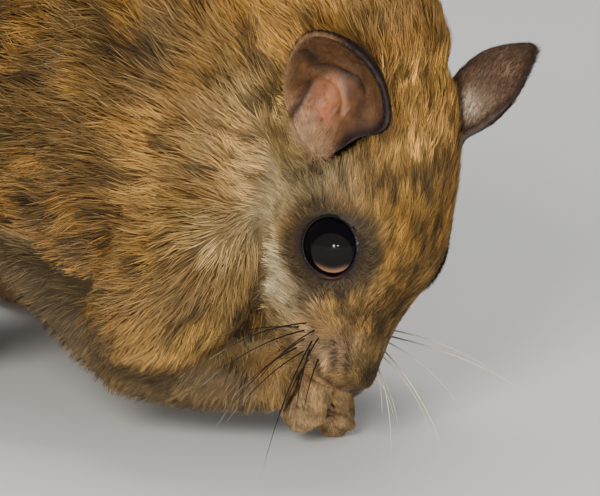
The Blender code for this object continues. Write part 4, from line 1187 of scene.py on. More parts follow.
def tinted(colours, labels, roots, ways, lengths):
    # root, middle and tip colour of each tuft
    count = len(colours)
    onHead = labels == "head"
    calm = np.where(np.isin(labels, ("patagium", "hand", "foot")), 0.4, 1.0)
    places = halved(inBody(roots))
    stretch = np.where(onHead[:, None], (1.0, 1.0, 0.42), (0.36, 1.0, 1.0))
    long = places * stretch
    patches = smoothstep(0.46, 0.72, cloudNoise(places, 7.0, 3))
    warm = smoothstep(0.5, 0.75, cloudNoise(places, 5.0, 8))
    flecks = smoothstep(0.58, 0.78, cloudNoise(long, 1.5, 5)) * np.where(onHead, 0.6, 0.8)
    strands = cloudNoise(long, 0.5, 14)
    grey, gold, slate, cream = (linear(coat[name]) for name in ("grey", "gold", "slate", "cream"))
    colours = colours + (grey - colours) * (patches * 0.4 * calm)[:, None]
    colours = colours + (gold - colours) * (warm * 0.3 * calm * (labels != "patagium"))[:, None]
    tone = random.normal(1.0, 0.16, count)
    draw = random.random(count)
    darkTone = np.where(onHead, coat["darkHeadTone"], coat["darkTone"])
    tone = np.where(draw < coat["darkShare"], tone * darkTone, tone)
    light = draw > 1 - coat["lightShare"]
    tone = np.where(light, tone * coat["lightTone"], tone)
    tone *= 1.0 - 0.85 * flecks * calm
    tone *= 0.66 + 0.68 * cloudNoise(long, 3.1, 12)
    inTheHead = halved(inHead(roots))
    rough = np.maximum(smoothstep(8.6, 5.6, inTheHead[:, 1]), smoothstep(8.0, 11.0, inTheHead[:, 0]))
    mottle = cloudNoise(long, 0.9, 17)
    tone *= np.where(onHead, 0.45 + 1.15 * strands, 1.0)
    tone *= np.where(onHead, 1.0 + rough * (mottle - 0.5) * 2.2, 1.0)
    tone *= np.where(labels == "hand", 0.3 + 1.3 * cloudNoise(places, 1.1, 19), 1.0)
    tone = np.maximum(tone, 0.1)
    parted = np.zeros(count)
    mirror = np.where(inBody(roots)[:, 1] < 0, -1.0, 1.0)
    flatWays = unit(ways * np.column_stack([np.ones(count), mirror, np.ones(count)]))
    middles = places + flatWays * (lengths * 0.55)[:, None]
    middles += (cloudNoise(places, 2.0, 30) - 0.5)[:, None] * (0.0, 1.0, 2.2)
    for place, reach, width in partings:
        off = middles - place
        along = (off * flatWays).sum(1)
        aside = np.linalg.norm(off - along[:, None] * flatWays, axis=1)
        parted = np.maximum(parted, np.exp(-(along / reach) ** 2 - (aside / (1.5 * width)) ** 4))
    parted[onHead] = 0.0
    parted *= random.random(count) > 0.12
    middle = colours * tone[:, None]
    middle = middle + (slate * 0.3 - middle) * (parted * 0.94)[:, None]
    root = middle * coat["rootShade"] + slate * 0.08
    tip = middle * coat["tipShade"]
    tip = tip + (cream - tip) * (np.where(light, 0.26, 0.04) * (1 - parted))[:, None]
    return np.stack([root, middle, tip], axis=1), parted


def furMaterial():
    look = Look("fur", Roughness=0.6)
    look.shader.inputs["Specular IOR Level"].default_value = 0.25
    colour = look.attribute("coatColour")
    across, along, number = look.split(look.attribute("strand", "Vector"))
    place = look.vector(across * 2.4 + number * 3.7, along * 0.22, number * 1.3)
    hairs = look.noise(place, 1.6, 1.0)
    look.set("Base Color", look.scaled(colour, hairs.between(0.3, 0.7) * 0.62 + 0.66))
    look.bump(hairs, 0.5, 0.05 * mm)
    return look


fur = furMaterial()


def keep(thing):
    dress(thing, fur)
    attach(thing, "root")


def growRegion(name, densities, fine, clump, clumpSize, lift):
    roots, normals, ways, lengths, labels = scatter(densities)
    order = np.argsort(roots[:, 0])
    roots, normals, ways, lengths, labels = (rows[order] for rows in (roots, normals, ways, lengths, labels))
    count = len(roots)
    places = inBody(roots)
    swirl = (cloudNoise(places, 6.0, 21) + cloudNoise(places, 2.2, 25) - 1.0) * coat["swirl"]
    turns = np.radians(random.normal(0, coat["spread"], count) + swirl)
    ways = unit(ways)
    standing = np.clip((ways * normals).sum(1), 0.0, 0.8)
    ways = ways + np.cross(normals, ways) * np.tan(turns)[:, None]
    colours, parted = tinted(markingsAndPaintedLight(roots, labels), labels, roots, ways, lengths)
    lengths = lengths * random.uniform(0.66, 1.2, count) * (1 - 0.25 * parted)
    widths = widthFor(lengths) * random.uniform(0.7, 1.25, count)
    lifts = np.radians(lift * random.uniform(0.6, 1.3, count) * (1 - 0.5 * parted))
    lifts += np.arcsin(standing) * coat["standing"]
    uvs = mapPlaces(roots)
    limit = coat["pieceLimit"] // (4 if fine else 6)
    pieces = math.ceil(count / limit)
    for index in range(pieces):
        part = slice(count * index // pieces, count * (index + 1) // pieces)
        thing = growTufts(name + str(index + 1), roots[part], normals[part], ways[part], lengths[part],
                          widths[part], lifts[part], colours[part], uvs[part], clump, clumpSize, fine)
        keep(thing)
    print("coat:", name, count, "tufts in", pieces, "pieces")


triangleLengths = skinLengths[skinTriangles].mean(axis=1)
triangleBare = skinBare[skinTriangles].any(axis=1)
share = 1.0 / (triangleLengths * widthFor(triangleLengths) * coat["bladeShare"])
longHair = triangleLengths > coat["faceLimit"]
growRegion("coatBody", np.where(longHair & ~triangleBare, share * coat["bodyCover"], 0.0), False,
           coat["clump"], coat["clumpSize"], coat["lift"])
headShare = (skinOnHead | (skinLabels == "neck"))[skinTriangles].mean(axis=1)
handShare = (skinLabels == "hand")[skinTriangles].mean(axis=1)
cover = coat["limbCover"] + (coat["faceCover"] - coat["limbCover"]) * np.maximum(headShare, handShare)
growRegion("coatFace", np.where(~longHair & ~triangleBare, share * cover, 0.0), True,
           coat["faceClump"], coat["faceClumpSize"], coat["faceLift"])

skinColours = markingsAndPaintedLight(skinPoints, skinLabels)
paw = np.isin(skinLabels, ("hand", "foot"))
skinColours[~paw] *= skinMake["bodyShade"]
# the paws' skin is painted darker in its creases, as shade
skinColours[paw] = linear(skinMake["pawColour"]) * (1.0 - 0.7 * creased(skinPoints[paw]))[:, None]
# the bare skin along the mouth is darkened, partly lip colour and partly painted shade in the mouth's crease
lipShare = np.where(skinOnHead, fade(lineDistance(inHead(skinPoints), mouthWhole), 0.45), 0.0)
skinColours += (linear(skinMake["lipAndShadeColour"]) - skinColours) * lipShare[:, None]
paint(skin, "coatColour", skinColours)


def skinMaterial():
    look = Look("skin", Roughness=0.6)
    look.shader.inputs["Specular IOR Level"].default_value = 0.35
    place = look.place()
    grain = look.noise(place, 2600.0, 3.0)
    broad = look.noise(place, 420.0, 2.0)
    look.set("Base Color", look.scaled(look.attribute("coatColour"), broad * 0.5 + 0.75))
    look.bump(grain + broad, 0.5, 0.08 * mm)
    return look


dress(skin, skinMaterial())
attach(skin, "root")
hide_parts(*fleshNodes, *pawNodes, "tail")


tail = {
    "line": ((-76.0, 0.0, 15.5, 5.0, 1.0), (-81.0, 0.0, 11.5, 6.0, 1.0), (-87.0, 0.4, 6.9, 8.5, 1.0),
             (-95.0, 1.4, 4.1, 12.0, 1.0), (-108.0, 3.6, 3.6, 14.0, 1.0), (-125.0, 6.2, 3.4, 14.5, 1.0),
             (-145.0, 7.6, 3.1, 14.0, 1.0), (-160.0, 6.8, 2.7, 13.0, 1.0), (-168.0, 5.6, 2.3, 12.0, 1.0)),
    "steps": 240,
    "count": 24000,
    "edgeShare": 0.55,  # of the hair that stands out at the two sides
    "topLength": 8.0,
    "sweep": 36.0,  # degrees off the tail's line
    "topLift": 12.0,
    "widths": (0.22, 0.42),
    "top": (128, 100, 66),
    "under": (206, 176, 134),
    "rim": (112, 92, 70),
    "darkShare": 0.2,
    "darkTone": 0.55,
    "lightShare": 0.2,
    "lightTone": 1.3,
    "rootShade": 0.45,
    "tipShade": 1.15,
    "clump": 0.4,
    "clumpSize": 12,
}


def growTail():
    rows = pathAlong(tail["line"], tail["steps"])
    core = pathAlong(skinMake["tailCore"], tail["steps"])
    count = tail["count"]
    last = len(rows) - 1
    share = np.clip(random.random(count) ** 0.92, 0.0, 0.999) * last
    index = share.astype(int)
    part = (share - index)[:, None]
    after = np.minimum(index + 1, last)
    line = rows[index] * (1 - part) + rows[after] * part
    body = core[index] * (1 - part) + core[after] * part
    back = unit(rows[np.minimum(index + 2, last), :3] - rows[np.maximum(index - 2, 0), :3])
    aside = unit(np.cross((0.0, 0.0, 1.0), back))
    upward = unit(np.cross(back, aside))
    angle = random.random(count) * 2 * math.pi
    edge = random.random(count) < tail["edgeShare"]
    sideways = np.where(random.random(count) < 0.5, 0.0, math.pi) + random.normal(0, 0.42, count)
    angle = np.where(edge, sideways, angle)
    cosine = np.cos(angle)[:, None]
    sine = np.sin(angle)[:, None]
    roots = body[:, :3] + aside * cosine * body[:, 3:4] * 0.9 + upward * sine * body[:, 4:5] * 0.9
    normals = unit(aside * cosine / body[:, 3:4] + upward * sine / body[:, 4:5])
    flatness = np.abs(cosine) ** 1.6
    sweep = np.radians(tail["sweep"]) * flatness * (1 - 0.93 * smoothstep(0.62, 1.0, share[:, None] / last))
    ways = back * np.cos(sweep) + aside * np.sign(cosine) * np.sin(sweep)
    lengths = tail["topLength"] + (line[:, 3] * 1.35 - tail["topLength"]) * flatness[:, 0]
    lengths *= random.uniform(0.7, 1.1, count) * (1 - 0.15 * smoothstep(0.8, 1.0, share / last))
    widths = random.uniform(*tail["widths"], count)
    lifts = np.radians(tail["topLift"] * (1 - 0.9 * flatness[:, 0]) * random.uniform(0.3, 1.3, count))
    normals = unit(normals * (1 - flatness) + upward * flatness * np.where(sine >= 0, 1.0, -1.0))
    colours = np.where(sine > -0.15, linear(tail["top"]), linear(tail["under"]))
    colours = colours + (linear(tail["rim"]) - colours) * flatness * 0.5
    tone = random.normal(1.0, 0.16, count)
    draw = random.random(count)
    tone = np.where(draw < tail["darkShare"], tone * tail["darkTone"], tone)
    tone = np.where(draw > 1 - tail["lightShare"], tone * tail["lightTone"], tone)
    middle = colours * tone[:, None]
    shades = np.stack([middle * tail["rootShade"], middle, middle * tail["tipShade"]], axis=1)
    roots = bodyPlaces(roots)
    uvs = mapPlaces(roots)
    thing = growTufts("coatTail", roots, normals, ways, lengths, widths, lifts, shades, uvs,
                      tail["clump"], tail["clumpSize"], False)
    keep(thing)
    print("coat: tail", count, "tufts")


growTail()


def eyeMaterial(side):
    look = Look("eye" + sideNames[side], Roughness=0.05)
    look.shader.inputs["Specular IOR Level"].default_value = 0.1
    centre = headPoint(eyeCentre(side))
    gaze = headTurn @ Vector((eyes["gaze"][0], eyes["gaze"][1] * side, eyes["gaze"][2])).normalized()
    front = headTurn @ Vector((1.0, 0.0, 0.0))
    front = (front - gaze * front.dot(gaze)).normalized()

    def along(direction):
        node = look.node("ShaderNodeVectorMath", {"operation": "DOT_PRODUCT"})
        look.plug(node.inputs[0], offset)
        node.inputs[1].default_value = direction
        return look.wire(node, "Value") / (eyes["radius"] * mm)

    shift = look.node("ShaderNodeVectorMath", {"operation": "SUBTRACT"})
    look.plug(shift.inputs[0], look.place())
    shift.inputs[1].default_value = centre
    offset = look.wire(shift, "Vector")
    ahead = along(gaze)
    down = along(front)
    # the disc inside the black rim is dark grey, partly the iris's colour and partly painted reflection; a
    # crescent at its lower front is a painted glow of light shining back out of the eye
    inside = ahead.between(0.835, 0.865)
    shineShare = inside * (1.0 - ahead.between(0.86, 0.985)) * down.between(0.2, 0.56)
    colour = look.mix(inside, eyes["black"], eyes["irisAndReflection"])
    look.set("Base Color", look.mix(shineShare, colour, eyes["paintedShine"]))
    return look


def makeEye(side):
    turn = (headTurn @ eyeWay(side)).to_track_quat("Z", "X").to_matrix()
    bpy.ops.mesh.primitive_uv_sphere_add(segments=eyes["segments"], ring_count=eyes["rings"], radius=1.0)
    ball = bpy.context.object
    ball.name = "eyeBall" + sideNames[side]
    points = pointsOf(ball)
    cornea = 1.0 + eyes["bulge"] * smoothstep(0.6, 1.0, points[:, 2])
    points = points * cornea[:, None] * eyes["radius"]
    centre = np.array(headPoint(eyeCentre(side)))
    setPoints(ball, centre + points @ np.array(turn).T * mm)
    ball.data.polygons.foreach_set("use_smooth", [True] * len(ball.data.polygons))
    dress(ball, eyeMaterial(side))
    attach(ball, "root")
    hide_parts("eye_left" if side > 0 else "eye_right")


def lidMaterial():
    look = Look("eyelid")
    look.shader.inputs["Specular IOR Level"].default_value = 0.15
    place = look.place()
    fine = look.noise(place, 3000.0, 2.0)
    wet = look.attribute("lidWet")
    look.set("Base Color", look.scaled(look.attribute("lidColour"), fine * 0.4 + 0.8))
    look.set("Roughness", fine * 0.2 + 0.6 - wet * 0.3)
    look.set("Coat Weight", wet * 0.07)
    look.bump(fine, 0.35, 0.05 * mm)
    return look


lidLook = lidMaterial()


def lidFrame(side):
    # the eye's middle, the turn to the lid's own axes and the angle of its front corner
    turn = np.array(eyeWay(side).to_track_quat("Z", "X").to_matrix())
    front = turn.T @ np.array((1.0, 0.0, 0.0))
    return np.array(eyeCentre(side)), turn, math.atan2(front[1], front[0])


def rimRadius(angles, frontAngle):
    turned = angles - frontAngle
    corner = np.maximum(0.0, np.cos(turned)) ** 18
    radius = 1.0 / np.hypot(np.cos(turned) / lid["long"], np.sin(turned) / lid["wide"])
    return radius + 0.35 * corner, corner


def rimPlaces(angles, around, frontAngle):
    # places on the rim and its skirt in the lid's axes, round the eye and round the rim
    radius, corner = rimRadius(angles, frontAngle)
    depth = np.sqrt((eyes["radius"] + 0.1) ** 2 - np.minimum(radius, 4.2) ** 2)
    wave = 0.012 * np.sin(angles * 23.0) + 0.008 * np.sin(angles * 41.0 + 1.0)
    outward = np.maximum(np.cos(around), 0.0) ** 2
    out = radius + np.cos(around) * lid["thickness"] + outward * lid["skirt"]
    high = depth + np.sin(around) * lid["thickness"] * (1 - 0.3 * outward) + wave
    high = high - 0.1 * corner - outward * 0.25
    return np.column_stack([np.cos(angles) * out, np.sin(angles) * out, high]), outward, corner


def makeLid(side):
    # a soft rim that lies on the ball, wet and black inside
    # it has a skirt under the fur and a small front corner
    middle, turn, frontAngle = lidFrame(side)
    rings, sides = lid["rings"], lid["sides"]
    angles = np.repeat(np.arange(rings) * 2 * math.pi / rings, sides)
    around = np.tile(np.arange(sides) * 2 * math.pi / sides, rings)
    places, outward, corner = rimPlaces(angles, around, frontAngle)
    dry = smoothstep(0.06, 0.5, outward)
    wetColour = linear(lid["wetColour"])
    colours = wetColour + (linear(lid["dryColour"]) - wetColour) * dry[:, None]
    pink = corner * (np.sin(around) > -0.2) * 0.5
    colours += (linear(lid["cornerColour"]) - colours) * pink[:, None]
    faces = []
    for ring in range(rings):
        for step in range(sides):
            low = ring * sides
            high = (ring + 1) % rings * sides
            after = (step + 1) % sides
            faces.append((low + step, low + after, high + after, high + step))
    rim = meshFrom("eyelid" + sideNames[side], headPlaces(middle + places @ turn.T), faces)
    cleaned(rim, 0.001 * mm)
    paint(rim, "lidColour", colours)
    paint(rim, "lidWet", np.repeat(1.0 - dry[:, None], 3, axis=1))
    dress(rim, lidLook)
    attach(rim, "root")


def growLidHair():
    # short dark hair over the skirts of both lids, out to the coat of the face
    inner = linear(lid["innerHair"])
    outer = linear(lid["outerHair"])
    table = []
    for side in (1, -1):
        middle, turn, frontAngle = lidFrame(side)
        count = lid["hairs"]
        angles = random.random(count) * 2 * math.pi
        share = random.uniform(0.28, 1.0, count)
        places, _, _ = rimPlaces(angles, np.arccos(share), frontAngle)
        radial = np.column_stack([np.cos(angles), np.sin(angles), np.zeros(count)])
        ways = radial + random.normal(0.0, 0.3, (count, 3))
        normals = unit(radial * 0.3 + (0.0, 0.0, 1.0))
        tone = inner + (outer - inner) * share[:, None] ** 2
        tone = tone * random.uniform(0.5, 1.6, (count, 1))
        shades = np.stack([tone * 0.6, tone, tone * 1.3], axis=1)
        axes = turn.T @ turnTable.T
        roots = headPlaces(middle + places @ turn.T)
        table.append((roots, normals @ axes, ways @ axes, 0.45 + 0.5 * share, shades))
    roots, normals, ways, lengths, shades = (np.concatenate(rows) for rows in zip(*table))
    count = len(roots)
    lengths = lengths * random.uniform(0.7, 1.3, count)
    widths = np.full(count, lid["hairWidth"])
    lifts = np.radians(random.uniform(6, 22, count))
    uvs = mapPlaces(roots)
    thing = growTufts("coatLids", roots, normals, ways, lengths, widths, lifts, shades, uvs,
                      lid["clump"], lid["clumpSize"], True)
    keep(thing)


print("eyes and lids")
for side in (1, -1):
    makeEye(side)
    makeLid(side)
growLidHair()


nose = {
    "centre": (15.7, 0.0, -4.3),
    "size": (1.1, 1.45, 1.2),
    "nostril": (1.0, 0.86, -0.25),
    "nostrilDepth": 0.75,
    "cleftDepth": 0.22,
    "colour": (50, 35, 29),
    # painted shade for the nostrils and the cleft
    "dark": (26, 16, 14),
}


def noseMaterial():
    look = Look("nose", Roughness=0.5)
    look.shader.inputs["Specular IOR Level"].default_value = 0.25
    place = look.place()
    cells = look.node("ShaderNodeTexVoronoi", None, Vector=place, Scale=4200.0)
    fine = look.wire(cells, "Distance")
    look.set("Base Color", look.scaled(look.attribute("noseColour"), fine * 0.5 + 0.7))
    look.bump(fine, 0.5, 0.05 * mm)
    return look


def makeNose():
    bpy.ops.mesh.primitive_uv_sphere_add(segments=64, ring_count=40, radius=1.0)
    pad = bpy.context.object
    pad.name = "nosePad"
    points = pointsOf(pad) * nose["size"]
    dark = np.zeros(len(points))
    cleft = fade(points[:, 1], 0.16) * smoothstep(0.5, -0.4, points[:, 2])
    points[:, 0] -= nose["cleftDepth"] * cleft
    for side in (1, -1):
        off = points - np.array(nose["nostril"]) * (1.0, side, 1.0)
        slit = np.exp(-(off[:, 1] / 0.42) ** 2 - ((off[:, 2] + 0.25 * np.abs(off[:, 1])) / 0.3) ** 2)
        slit *= points[:, 0] > -0.2
        points[:, 0] -= nose["nostrilDepth"] * slit
        dark = np.maximum(dark, slit)
    # the nostrils and the cleft are painted darker, as shade in their hollows
    colours = linear(nose["colour"]) + np.zeros((len(points), 3))
    colours += (linear(nose["dark"]) - colours) * np.clip(dark * 1.3 + cleft * 0.5, 0, 1)[:, None]
    setPoints(pad, headPlaces(points + np.array(nose["centre"])))
    pad.data.polygons.foreach_set("use_smooth", [True] * len(pad.data.polygons))
    paint(pad, "noseColour", colours)
    dress(pad, noseMaterial())
    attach(pad, "root")


makeNose()


# lines in the ear's own plane, across and towards the tip
earLines = {
    "crease": ((-5.2, 8.4), (-4.5, 5.2), (-1.8, 3.7), (1.2, 3.4)),
    "ridge": ((-3.4, 3.0), (-2.1, 2.2), (-1.1, 1.1), (-0.8, 0.2)),
    "groove": ((-5.1, 2.6), (-5.6, -0.1), (-6.3, -2.6)),
    "fold": ((-6.1, 3.5), (-6.7, 0.2), (-6.9, -2.6)),
}
# small wrinkles of the hollow that run in from the lower rim
earWrinkles = (
    ((-5.9, 2.3), (-4.8, 2.9), (-3.4, 2.5)), ((-6.1, 0.9), (-5.3, 1.2), (-4.3, 0.6)),
    ((-4.9, 0.2), (-3.9, 0.5), (-3.0, 0.0)), ((-6.0, -1.2), (-5.1, -0.5), (-4.2, -0.8)),
    ((-4.7, -2.3), (-3.9, -1.4), (-2.9, -1.6)), ((-1.4, -2.6), (-1.9, -1.2), (-1.2, 0.6)),
    ((-0.1, -2.0), (-0.5, -0.6), (0.1, 0.8)),
)
# place in the ear's plane, reach, colour and strength
earMarks = (
    ((-1.0, 8.5), 5.5, (88, 60, 34), 0.95),
    ((-0.2, 2.4), 2.4, (84, 56, 36), 0.92),
    ((-3.4, -0.6), 2.1, (150, 90, 50), 0.95),
    ((-2.7, -1.2), 0.9, (158, 66, 48), 0.75),
    ((-3.2, 1.6), 1.6, (140, 84, 52), 0.8),
    ((1.6, 2.2), 2.8, (78, 52, 32), 0.85),
    ((1.0, -0.4), 2.0, (98, 68, 44), 0.8),
    ((-6.4, 0.4), 1.4, (172, 136, 98), 0.9),
    ((-4.4, -3.0), 1.8, (168, 134, 102), 0.8),
    ((-1.5, -3.4), 2.0, (150, 122, 92), 0.8),
)


def earSurface(side, radius, angle):
    # place of the cup's inside in the ear's own axes
    degrees = np.degrees(angle) % 360.0
    upPart = np.sin(angle)
    across = np.cos(angle)
    stretch = earStretch(degrees)
    reachUp = ear["length"] * np.where(upPart > 0, 0.58, 0.62)
    width = ear["halfWidth"] * across * radius * stretch * np.where(across < 0, ear["narrow"][side], 1.0)
    height = ear["length"] * ear["middle"] + reachUp * upPart * radius * stretch
    nearTip = smoothstep(-0.2, 0.8, upPart)
    nearCrown = smoothstep(0.0, 0.9, across)
    flatter = np.maximum(nearTip, nearCrown) if side < 0 else 0.0
    cup = -ear["cupDepths"][side] * (1.0 - radius ** (2.2 - 1.0 * flatter))
    lean = (3.0 - 2.2 * flatter) * np.maximum(0.0, upPart * radius - 0.35) ** 2
    roll = (1.1 - 0.9 * flatter) * (np.abs(across) * radius) ** 3
    middle, reach, amount = ear["notch"]
    notch = amount * fade(degrees - middle, reach) * radius ** 2
    return np.column_stack([width, height, cup + lean + roll + notch])


def ripple(flat, name, reach):
    return fade(lineDistance(flat, earLines[name]), reach)


def makeEar(side):
    rings, sides = ear["rings"], ear["sides"]
    radius = np.repeat(np.linspace(0.0, 1.0, rings + 1)[1:] ** 0.85, sides)
    angle = np.tile(np.arange(sides) * 2 * math.pi / sides, rings)
    inner = earSurface(side, radius, angle)
    across, upPart = np.cos(angle), np.sin(angle)
    root = np.maximum(0.0, 1.0 - (1.0 + radius * upPart) / 1.1)
    wall = ear["rimThickness"] + (ear["rootThickness"] - ear["rimThickness"]) * np.maximum(root, 1 - radius)
    behind = unit(np.column_stack([across * 0.55 * radius, upPart * 0.55 * radius, -np.ones_like(radius)]))
    outer = inner + behind * wall[:, None]
    flat = inner[:, :2]
    crease = ripple(flat, "crease", 0.45)
    ridge = ripple(flat, "ridge", 0.42)
    groove = ripple(flat, "groove", 0.38)
    fold = ripple(flat, "fold", 0.6)
    rim = fade(1.0 - radius, 0.05)
    inner[:, 2] += 0.4 * ridge - 0.35 * crease - 0.4 * groove + 0.3 * fold + 0.22 * rim
    wrinkle = np.sin(flat[:, 1] * 7.0 + flat[:, 0] * 2.0) * ripple(flat, "fold", 1.2)
    wrinkles = np.zeros(len(flat))
    for line in earWrinkles:
        wrinkles = np.maximum(wrinkles, fade(lineDistance(flat, line), 0.17))
    wrinkles *= 0.6 + 0.4 * np.sin(flat[:, 0] * 2.3 + flat[:, 1] * 3.1)
    waves = np.sin(angle * 9.0 + radius * 4.0) * (1 - radius) * radius
    inner[:, 2] += 0.06 * wrinkle + 0.12 * waves - 0.36 * wrinkles
    centre = earSurface(side, np.zeros(1), np.zeros(1))
    layer = rings * sides
    local = np.vstack([inner, outer, centre, centre - (0.0, 0.0, ear["rootThickness"])])
    faces = []
    for step in range(sides):
        after = (step + 1) % sides
        faces.append((2 * layer, step, after))
        faces.append((2 * layer + 1, layer + after, layer + step))
        for ring in range(rings - 1):
            a = ring * sides + step
            b = ring * sides + after
            faces.append((a, a + sides, b + sides, b))
            faces.append((layer + a, layer + b, layer + b + sides, layer + a + sides))
        a = (rings - 1) * sides + step
        b = (rings - 1) * sides + after
        faces.append((a, layer + a, layer + b, b))
    wide, tip, opening = earAxes(side)
    places = earBase(side) + local @ np.vstack([wide, tip, opening])
    shell = meshFrom("earShell" + sideNames[side], headPlaces(places), faces)
    cleaned(shell)
    colours = np.array(ear["inside"]) + np.zeros((layer, 3))
    for place, reach, colour, strength in earMarks:
        share = strength * np.exp(-((flat - place) ** 2).sum(1) / reach ** 2)
        colours += (np.array(colour) - colours) * share[:, None]
    # the right rim is painted dark, partly dark skin and partly painted shade of the gap behind the rolled
    # rim; the crease, the groove and the small wrinkles are painted darker as shade in their hollows
    darkRim = fade(1.0 - radius, 0.13) * smoothstep(-0.15, 0.35, across)
    paleRim = fade(1.0 - radius, 0.05) * smoothstep(0.2, -0.4, across)
    for share, colour in ((darkRim * 0.95, (30, 19, 20)), (paleRim * 0.6, (160, 126, 92)),
                          (crease * 0.8, (36, 24, 16)), (groove * 0.85, (40, 26, 18)),
                          (ridge * 0.5, (176, 112, 72)), (wrinkles * 0.7, (84, 46, 30))):
        colours += (np.array(colour) - colours) * np.clip(share, 0, 1)[:, None]
    back = np.array(ear["back"]) + np.zeros((layer, 3))
    root = 0.9 * np.exp(-((flat - ear["backPale"]) ** 2).sum(1) / 4.0)
    back += (np.array(ear["backRoot"]) - back) * root[:, None]
    if side < 0:
        nearRim = smoothstep(0.7, 0.95, radius)
        back += (np.array(ear["backNearRim"]) - back) * nearRim[:, None]
    backRim = fade(1.0 - radius, 0.06)
    back += (np.array(ear["backRim"]) - back) * (backRim * 0.7)[:, None]
    every = linear(np.vstack([colours, back, colours[:1], back[:1]]))
    paint(shell, "earColour", every)
    return shell, headPlaces(places), every, layer


def shellAreas(shell):
    # square millimetres round each vertex
    shares = np.zeros(len(shell.data.vertices))
    for polygon in shell.data.polygons:
        for index in polygon.vertices:
            shares[index] += polygon.area / mm ** 2 / len(polygon.vertices)
    return shares


def earMaterial():
    look = Look("earSkin", Roughness=0.5)
    look.shader.inputs["Subsurface Weight"].default_value = 0.12
    look.shader.inputs["Subsurface Scale"].default_value = 0.6 * mm
    look.shader.inputs["Subsurface Radius"].default_value = (1.0, 0.4, 0.25)
    place = look.place()
    fine = look.noise(place, 3200.0, 3.0)
    broad = look.noise(place, 600.0, 3.0)
    shade = broad.between(0.3, 0.7) * 0.6 + fine * 0.3 + 0.52
    look.set("Base Color", look.scaled(look.attribute("earColour"), shade))
    look.bump(fine * 0.5 + broad, 0.5, 0.1 * mm)
    return look


print("ears")
earLook = earMaterial()
earHairs = []
for side in (1, -1):
    shell, shellPlaces, shellColours, layer = makeEar(side)
    dress(shell, earLook)
    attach(shell, "root")
    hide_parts("ear_left" if side > 0 else "ear_right")
    # short hair over the back of the ear, fine down inside its tip and pale hair over its lower rim
    count = len(shellPlaces)
    normals = normalsOf(shell)
    _, tip, _ = earAxes(side)
    local = earLocal(inHead(shellPlaces), side)
    low = 1.0 - smoothstep(-4.2, -1.2, local[:, 1])
    high = smoothstep(1.0, 6.0, local[:, 1])
    hollowMiddle = (0.0, ear["length"] * ear["middle"])
    rimward = np.linalg.norm((local[:, :2] - hollowMiddle) / (ear["halfWidth"], 8.0), axis=1)
    isBack = np.arange(count) >= layer
    chance = np.where(isBack, 1.5, 0.9 * high) + low * 0.9 + 0.7 * smoothstep(0.8, 1.0, rimward)
    rows = np.repeat(np.arange(count), random.poisson(chance * shellAreas(shell) * ear["hairs"]))
    jitter = random.normal(0.0, 0.13, (len(rows), 3))
    roots = shellPlaces[rows] + (jitter - (jitter * normals[rows]).sum(1)[:, None] * normals[rows]) * mm
    stray = random.normal(0.0, 0.8, (len(rows), 3))
    away = unit(inHead(shellPlaces[rows]) - np.array(ear["whorl"]) * (1.0, side, 1.0) + stray)
    ways = np.array(tip) * (1 - low[rows])[:, None] + away * low[rows][:, None]
    ways = ways @ turnTable.T + random.normal(0.0, 0.3, (len(rows), 3))
    down = np.where(isBack, 0.55, 1.0)[rows][:, None] * shellColours[rows]
    pale = linear(ear["hairTone"])
    tone = down * 1.15 + (pale - down) * (low[rows] * 0.85)[:, None]
    tone = tone * random.uniform(0.55, 1.35, (len(rows), 1))
    shades = np.stack([tone * 0.6, tone, tone * 1.2], axis=1)
    lengths = (1.0 + 1.5 * low[rows]) * random.uniform(0.6, 1.3, len(rows))
    earHairs.append((roots, normals[rows], ways, lengths, shades))

roots, normals, ways, lengths, shades = (np.concatenate(rows) for rows in zip(*earHairs))
widths = np.full(len(roots), ear["hairWidth"])
lifts = np.radians(random.uniform(8, 24, len(roots)))
uvs = mapPlaces(roots)
thing = growTufts("coatEars", roots, normals, ways, lengths, widths, lifts, shades, uvs,
                  ear["clump"], ear["clumpSize"], True)
keep(thing)
print("coat: ears", len(roots), "hairs")


whisker = {
    "radius": 0.085,
    "tipRadius": 0.012,
    "rootDepth": 0.5,
    "bow": (-0.10, 0.10, 0.05),
    "steps": 14,
    "dark": (20, 14, 12),
    "pale": (214, 196, 170),
}
# root and the whole way to the tip, in the head's axes, for the two sides of the face
whiskerRows = {
    -1: (
        ((9.1, -6.9, -6.4), (4.7, -14.8, -1.5)), ((10.0, -6.7, -6.8), (6.9, -16.0, -1.2)),
        ((10.0, -6.5, -5.4), (8.4, -15.7, 3.5)), ((11.3, -6.1, -5.8), (16.2, -14.0, 5.4)),
        ((11.0, -6.3, -6.9), (10.5, -15.2, 0.5)), ((12.1, -5.6, -6.4), (9.4, -8.5, 5.5)),
        ((12.3, -5.5, -7.3), (8.6, -12.0, -1.0)), ((9.6, -7.0, -7.6), (2.5, -12.5, -3.5)),
        ((13.1, -4.9, -6.9), (7.0, -6.5, 1.5)), ((13.2, -4.9, -5.6), (8.0, -7.2, 4.0)),
        ((10.9, -6.2, -4.8), (9.0, -12.0, 6.5)), ((12.0, -5.8, -8.2), (6.0, -8.0, -2.5)),
    ),
    1: (
        ((10.0, 6.5, -5.4), (8.8, 19.2, 12.3)), ((11.2, 6.0, -5.9), (14.4, 8.6, 5.1)),
        ((12.2, 5.4, -6.3), (12.2, 2.1, 2.3)), ((13.0, 5.0, -6.0), (6.4, 1.4, 1.2)),
        ((9.2, 6.9, -6.4), (6.0, 18.0, 6.0)), ((10.2, 6.6, -6.9), (9.5, 16.0, 2.0)),
        ((11.4, 6.1, -7.2), (11.0, 13.0, 0.0)), ((12.4, 5.4, -7.4), (8.4, 8.5, -1.0)),
        ((9.7, 7.0, -7.7), (3.0, 13.0, -3.0)), ((13.2, 4.8, -7.0), (6.5, 6.0, 0.5)),
    ),
}


